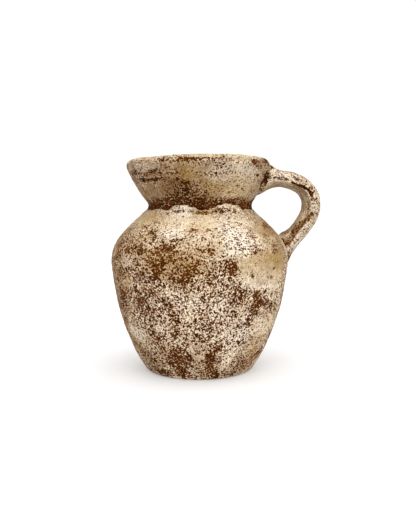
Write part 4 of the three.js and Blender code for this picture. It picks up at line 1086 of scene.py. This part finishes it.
# ------------------------------------------------------------------ floor slab
def floor_piece(name):
    under = np.stack([np.linspace(1.5, 51.0, 26), np.zeros(26)], 1)
    side = cut(outer_line, 0.01, 9.2, 0.8)
    top = np.stack([np.linspace(60.0, 1.5, 24), np.full(24, 9.0)], 1)
    t0, z0, p0, q0 = wrap(under, "out", False)
    q0[:, 2] = 0.25 * smooth(44, 30, np.hypot(p0[:, 0], p0[:, 1])) * (1 + 0.5 * cloud(p0, 12, 211, 2))
    q0[:, 2] = np.maximum(q0[:, 2], 0)
    L0 = {k: np.zeros(len(t0)) for k in CHANNELS}
    rr = np.hypot(p0[:, 0], p0[:, 1])
    L0["cover"] += 0.3 + 0.25 * cloud(p0, 16, 213, 3) - 0.2 * bell(rr, 46, 6)
    L0["tan"] += 0.7
    L0["rust"] += 0.8
    L0["grey"] += 0.15
    L0["speck"] += 0.3
    t1, z1, p1, q1 = wrap(side, "out", True)
    L1 = outside_layers(t1, z1, p1)
    t2, z2, p2, q2 = wrap(top, "in", False)
    L2 = inside_layers(t2, z2, p2)
    places = np.vstack([q0, q1, q2, [[-0.45, 0, 0.25]], [[-0.45, 0, 9.0]]])
    layers = {k: np.concatenate([L0[k], L1[k], L2[k], L0[k][:1], L2[k][-1:]]) for k in CHANNELS}
    rows = len(under) + len(side) + len(top)
    j = np.arange(AROUND)
    nxt = (j + 1) % AROUND
    quads = np.concatenate(
        [np.stack([i * AROUND + j, i * AROUND + nxt, (i + 1) * AROUND + nxt, (i + 1) * AROUND + j], 1) for i in range(rows - 1)]
    )
    low, high = rows * AROUND, rows * AROUND + 1
    base = (rows - 1) * AROUND
    fans = [[int(n_), int(k), low] for k, n_ in zip(j, nxt)]
    fans += [[int(base + k), int(base + n_), high] for k, n_ in zip(j, nxt)]
    ang = np.append(np.arange(AROUND), 0) / AROUND * 2 * math.pi
    ca, sa = np.cos(ang), np.sin(ang)
    blocks = []
    nu, ns, nt = len(under), len(side), len(top)

    def disc(cx, cy, size, radii):
        out = []
        for a, b in zip(radii[:-1], radii[1:]):
            ra, rb = size * a, size * b
            out.append(
                np.stack(
                    [
                        np.stack([cx + ra * ca[:-1], cy + ra * sa[:-1]], 1),
                        np.stack([cx + ra * ca[1:], cy + ra * sa[1:]], 1),
                        np.stack([cx + rb * ca[1:], cy + rb * sa[1:]], 1),
                        np.stack([cx + rb * ca[:-1], cy + rb * sa[:-1]], 1),
                    ],
                    1,
                )
            )
        return np.concatenate(out)

    blocks.append(disc(0.25, 0.25, 0.24, np.append(under[:, 0], 52.0) / 52.0))
    blocks.append(strips(AROUND, ns - 1, 0.52, 0.99, 4))
    # the step from the side to the top, then the top itself
    blocks.append(disc(0.75, 0.25, 0.24, np.append([62.0], top[:, 0]) / 62.0))
    uv = np.concatenate(blocks).reshape(-1, 2)
    tri = []
    for cx, size in ((0.25, 0.24 * 1.5 / 52), (0.75, 0.24 * 1.5 / 62)):
        for k in range(AROUND):
            tri += [
                (cx + size * ca[k + 1], 0.25 + size * sa[k + 1]),
                (cx + size * ca[k], 0.25 + size * sa[k]),
                (cx, 0.25),
            ]
    uv = np.vstack([uv, np.array(tri)])
    sharp = [nu + ns - 1, nu + ns]
    return make_mesh(name, places, quads.tolist() + fans, layers, uv, sharp, AROUND)


# ------------------------------------------------------------------- materials
class Tree:
    def __init__(self, name):
        self.mat = bpy.data.materials.new(name)
        self.mat.use_nodes = True
        self.nt = self.mat.node_tree
        self.shader = self.nt.nodes["Principled BSDF"]

    def node(self, kind, **settings):
        n = self.nt.nodes.new(kind)
        for key, value in settings.items():
            setattr(n, key, value)
        return n

    def put(self, socket, value):
        if hasattr(value, "is_output"):
            self.nt.links.new(value, socket)
        else:
            socket.default_value = value

    def maths(self, operation, a, b=None, c=None, clamp=False):
        n = self.node("ShaderNodeMath", operation=operation, use_clamp=clamp)
        for i, v in enumerate((a, b, c)):
            if v is not None:
                self.put(n.inputs[i], v)
        return n.outputs[0]

    def mix(self, amount, a, b):
        n = self.node("ShaderNodeMix", data_type="RGBA", blend_type="MIX", clamp_factor=True)
        self.put(n.inputs["Factor"], amount)
        self.put(n.inputs[6], a)
        self.put(n.inputs[7], b)
        return n.outputs[2]

    def tone(self, colour, amount):
        """A colour times a number."""
        n = self.node("ShaderNodeMix", data_type="RGBA", blend_type="MULTIPLY")
        n.inputs["Factor"].default_value = 1.0
        self.put(n.inputs[6], colour)
        grey = self.node("ShaderNodeCombineColor")
        for i in range(3):
            self.put(grey.inputs[i], amount)
        self.nt.links.new(grey.outputs[0], n.inputs[7])
        return n.outputs[2]

    def attribute(self, name):
        return self.node("ShaderNodeAttribute", attribute_name=name).outputs["Fac"]

    def node_noise(self, vector, scale, detail, roughness, distortion=0.0):
        n = self.node("ShaderNodeTexNoise", noise_dimensions="3D")
        self.nt.links.new(vector, n.inputs["Vector"])
        n.inputs["Scale"].default_value = scale
        n.inputs["Detail"].default_value = detail
        n.inputs["Roughness"].default_value = roughness
        n.inputs["Distortion"].default_value = distortion
        return n

    def noise(self, *settings):
        return self.node_noise(*settings).outputs["Fac"]


CREAM = (0.806, 0.652, 0.446, 1)
WHITE = (0.91, 0.845, 0.765, 1)
OCHRE = (0.475, 0.318, 0.128, 1)
TAN = (0.208, 0.119, 0.043, 1)
GREY = (0.45, 0.385, 0.31, 1)
STAIN = (0.295, 0.1, 0.009, 1)
BROWN = (0.032, 0.0076, 0.0006, 1)
RUST = (0.104, 0.0275, 0.0022, 1)
UMBER = (0.020, 0.0052, 0.0008, 1)


def washed_clay(name):
    k = Tree(name)
    where = k.node("ShaderNodeTexCoord").outputs["Object"]
    cover, tan, white = k.attribute("cover"), k.attribute("tan"), k.attribute("white")
    grey, ochre = k.attribute("grey"), k.attribute("ochre")
    speck, rust = k.attribute("speck"), k.attribute("rust")
    # Grains more than a millimetre wide, with ragged edges.
    wobble = k.node("ShaderNodeVectorMath", operation="MULTIPLY_ADD")
    k.nt.links.new(k.node_noise(where, 900, 1.0, 0.5).outputs["Color"], wobble.inputs[0])
    wobble.inputs[1].default_value = (0.0012, 0.0012, 0.0012)
    k.nt.links.new(where, wobble.inputs[2])
    grains = k.node("ShaderNodeTexVoronoi", voronoi_dimensions="3D", feature="F1")
    k.nt.links.new(wobble.outputs[0], grains.inputs["Vector"])
    grains.inputs["Scale"].default_value = 800.0
    grain = k.node("ShaderNodeSeparateColor")
    k.nt.links.new(grains.outputs["Color"], grain.inputs[0])
    fleck = k.noise(where, 680, 0.5, 0.5, 0.3)
    patch = k.noise(where, 130, 2.0, 0.5)
    mixed = k.maths("MULTIPLY_ADD", patch, 0.1, k.maths("MULTIPLY", fleck, 0.62))
    mixed = k.maths("MULTIPLY_ADD", grain.outputs[0], EVEN, mixed)
    over = k.maths("SUBTRACT", mixed, cover)
    mask = k.maths("MULTIPLY_ADD", over, 70.0, 0.5, clamp=True)
    thick = k.maths("MULTIPLY_ADD", over, 4.4, 0.5, clamp=True)
    mottle = k.noise(where, 105, 2.0, 0.6, 0.6)
    cloudy = k.noise(where, 42, 3.0, 0.55)
    fine = k.noise(where, 850, 2.0, 0.6)
    lean = k.maths("MULTIPLY_ADD", cloudy, 1.6, -0.3)
    wash = k.mix(k.maths("MULTIPLY", white, lean, clamp=True), CREAM, WHITE)
    wash = k.mix(k.maths("MULTIPLY", ochre, k.maths("SUBTRACT", 1.5, lean), clamp=True), wash, OCHRE)
    wash = k.mix(k.maths("ADD", tan, k.maths("MULTIPLY_ADD", mottle, 1.1, -0.55), clamp=True), wash, TAN)
    wash = k.mix(grey, wash, GREY)
    wash = k.mix(k.maths("MULTIPLY_ADD", thick, -1.4, 1.4, clamp=True), wash, STAIN)
    wash = k.tone(wash, k.maths("MULTIPLY_ADD", fine, 2.2, -0.1))
    deep = k.noise(where, 190, 2.0, 0.6)
    redder = k.maths("MULTIPLY_ADD", rust, 0.6, k.maths("MULTIPLY_ADD", deep, 2.4, -0.95), clamp=True)
    clay = k.mix(redder, BROWN, RUST)
    darker = k.maths("MULTIPLY_ADD", rust, -2.0, k.maths("MULTIPLY_ADD", deep, -4.0, 2.5), clamp=True)
    clay = k.mix(darker, clay, UMBER)
    clay = k.tone(clay, k.maths("MULTIPLY_ADD", fine, 4.2, -1.1))
    colour = k.mix(mask, clay, wash)
    dots = k.noise(where, 620, 1.0, 0.5, 0.4)
    dot_level = k.maths("MULTIPLY_ADD", speck, -0.15, 0.74)
    dot = k.maths("MULTIPLY_ADD", k.maths("SUBTRACT", dots, dot_level), 30.0, 0.5, clamp=True)
    colour = k.mix(k.maths("MULTIPLY", dot, 0.85), colour, UMBER)
    k.put(k.shader.inputs["Base Color"], colour)
    k.put(k.shader.inputs["Roughness"], k.maths("MULTIPLY_ADD", mask, 0.16, k.maths("MULTIPLY_ADD", fine, 0.12, 0.7)))
    k.shader.inputs["Specular IOR Level"].default_value = 0.02
    relief = k.maths("MULTIPLY_ADD", mask, 0.55, k.maths("MULTIPLY", fine, 0.25))
    relief = k.maths("MULTIPLY_ADD", dot, -0.3, relief)
    relief = k.maths("MULTIPLY_ADD", fleck, 0.3, relief)
    bump = k.node("ShaderNodeBump")
    bump.inputs["Strength"].default_value = 0.55
    bump.inputs["Distance"].default_value = 0.0006
    k.nt.links.new(relief, bump.inputs["Height"])
    k.nt.links.new(bump.outputs["Normal"], k.shader.inputs["Normal"])
    return k.mat


def dried_slip(name):
    """The luting slip inside the joints."""
    k = Tree(name)
    where = k.node("ShaderNodeTexCoord").outputs["Object"]
    broad = k.noise(where, 120, 3.0, 0.6, 0.5)
    fine = k.noise(where, 700, 2.0, 0.6)
    colour = k.mix(k.maths("MULTIPLY_ADD", broad, 2.4, -0.7, clamp=True), BROWN, RUST)
    colour = k.mix(k.maths("MULTIPLY_ADD", fine, 3.0, -1.5, clamp=True), colour, UMBER)
    k.put(k.shader.inputs["Base Color"], colour)
    k.put(k.shader.inputs["Roughness"], k.maths("MULTIPLY_ADD", fine, 0.2, 0.75))
    k.shader.inputs["Specular IOR Level"].default_value = 0.25
    bump = k.node("ShaderNodeBump")
    bump.inputs["Strength"].default_value = 0.5
    bump.inputs["Distance"].default_value = 0.0005
    k.nt.links.new(k.maths("ADD", broad, fine), bump.inputs["Height"])
    k.nt.links.new(bump.outputs["Normal"], k.shader.inputs["Normal"])
    return k.mat


# ---------------------------------------------------------------------- pieces
clay = washed_clay("washed_clay")
slip = dried_slip("dried_slip")

PIECES = {
    "floor_disc": floor_piece("vase_floor"),
    "belly_wall": ring_piece(
        "vase_belly", cut(outer_line, 9.2, 112.0, STEP), cut(inner_line, 10.6, 112.0, 3.0)[::-1], 2
    ),
    "shoulder_wall": ring_piece(
        "vase_shoulder", cut(outer_line, 112.0, 162.0, STEP), cut(inner_line, 112.0, 168.0, 2.5)[::-1], 2
    ),
    "neck_slip_coil": ring_piece(
        "vase_neck_coil", cut(outer_line, 162.0, 175.8, 0.6), np.array([(51.6, 169.4), (51.6, 168.2)]), 4
    ),
    "neck_collar": ring_piece(
        "vase_neck", cut(outer_line, 175.8, 202.6, 0.9), cut(inner_line, 168.4, 205.2, 2.0)[::-1], 3
    ),
    "rim_band": ring_piece(
        "vase_rim",
        np.vstack([cut(outer_line, 202.6, 211.8, 0.8), lip(20)[1:10]]),
        np.vstack([lip(20)[10:-1], cut(inner_line, 205.2, 211.8, 1.0)[::-1]]),
        4,
    ),
    "handle_strap": handle_piece("vase_handle"),
    "floor_slip_ring": ring_piece(
        "vase_floor_slip", np.array([(60.0, 9.4), (60.6, 10.4)]), np.array([(54.0, 10.4), (54.0, 9.4)]), 1
    ),
    "belly_slip_ring": ring_piece(
        "vase_belly_slip", np.array([(90.6, 111.4), (90.6, 112.6)]), np.array([(86.4, 112.6), (86.4, 111.4)]), 1
    ),
}
SLOTS = {"neck_slip_coil": "raw_clay", "floor_slip_ring": "luting_slip", "belly_slip_ring": "luting_slip"}
for node, ob in PIECES.items():
    ob.data.materials.append(slip if SLOTS.get(node) == "luting_slip" else clay)
    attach(ob, "root")
    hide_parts(node)

for node in ("handle_upper_slip", "handle_lower_slip"):
    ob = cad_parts[node]
    ob.data.materials.clear()
    ob.data.materials.append(slip)

# ------------------------------------------------------------------------ stage
floor_mesh = bpy.data.meshes.new("studio_floor")
S = 6.0
floor_mesh.from_pydata([(-S, -S, 0), (S, -S, 0), (S, S, 0), (-S, S, 0)], [], [(0, 1, 2, 3)])
floor = bpy.data.objects.new("studio_floor", floor_mesh)
bpy.context.scene.collection.objects.link(floor)
pale = bpy.data.materials.new("studio_floor")
pale.use_nodes = True
pale.node_tree.nodes["Principled BSDF"].inputs["Base Color"].default_value = (0.73, 0.73, 0.735, 1)
pale.node_tree.nodes["Principled BSDF"].inputs["Roughness"].default_value = 0.9
pale.node_tree.nodes["Principled BSDF"].inputs["Emission Color"].default_value = (1, 1, 1, 1)
pale.node_tree.nodes["Principled BSDF"].inputs["Emission Strength"].default_value = 0.22
pale.node_tree.nodes["Principled BSDF"].inputs["Specular IOR Level"].default_value = 0.1
floor_mesh.materials.append(pale)

world = bpy.data.worlds.new("studio")
bpy.context.scene.world = world
world.use_nodes = True
wn = world.node_tree
sky = wn.nodes["Background"]
sky.inputs["Color"].default_value = (1, 1, 1, 1)
# A big soft tent: brightest overhead, a little brighter in front and on the right.
coord = wn.nodes.new("ShaderNodeTexCoord")
part = wn.nodes.new("ShaderNodeSeparateXYZ")
wn.links.new(coord.outputs["Generated"], part.inputs[0])
total = None
for axis, amount in ((2, 1.36), (0, 0.17), (1, -0.36)):
    step = wn.nodes.new("ShaderNodeMath")
    step.operation = "MULTIPLY_ADD"
    wn.links.new(part.outputs[axis], step.inputs[0])
    step.inputs[1].default_value = amount
    if total is None:
        step.inputs[2].default_value = 0.41
    else:
        wn.links.new(total, step.inputs[2])
    total = step.outputs[0]
least = wn.nodes.new("ShaderNodeMath")
least.operation = "MAXIMUM"
wn.links.new(total, least.inputs[0])
least.inputs[1].default_value = 0.1
wn.links.new(least.outputs[0], sky.inputs["Strength"])
seen = wn.nodes.new("ShaderNodeBackground")
seen.inputs["Color"].default_value = (1, 1, 1, 1)
seen.inputs["Strength"].default_value = 1.05
path = wn.nodes.new("ShaderNodeLightPath")
pick = wn.nodes.new("ShaderNodeMixShader")
wn.links.new(path.outputs["Is Camera Ray"], pick.inputs["Fac"])
wn.links.new(sky.outputs[0], pick.inputs[1])
wn.links.new(seen.outputs[0], pick.inputs[2])
wn.links.new(pick.outputs[0], wn.nodes["World Output"].inputs["Surface"])


def lamp(name, place, aim, size, power):
    light = bpy.data.lights.new(name, "AREA")
    light.shape = "DISK"
    light.size = size
    light.energy = power
    ob = bpy.data.objects.new(name, light)
    bpy.context.scene.collection.objects.link(ob)
    ob.location = place
    ob.rotation_euler = (Vector(aim) - Vector(place)).to_track_quat("-Z", "Y").to_euler()
    return ob


lamp("key", (0.12, -0.95, 1.3), (0, 0, 0.1), 0.9, 2.4)

# ----------------------------------------------------------------------- camera
cam_data = bpy.data.cameras.new("camera")
cam_data.sensor_fit = "VERTICAL"
cam_data.sensor_height = 36.0
cam_data.lens = 548.1 / 520 * 36.0
cam_data.clip_start = 0.01
camera = bpy.data.objects.new("camera", cam_data)
bpy.context.scene.collection.objects.link(camera)
camera.location = (0.0, -0.580, 0.1514)
camera.rotation_euler = (math.radians(90 - 3.71), 0, math.radians(-0.852))
bpy.context.scene.camera = camera

scene = bpy.context.scene
scene.view_settings.view_transform = "Standard"
scene.view_settings.look = "None"
scene.view_settings.exposure = 0.0
scene.view_settings.gamma = 1.0

bpy.context.view_layer.update()
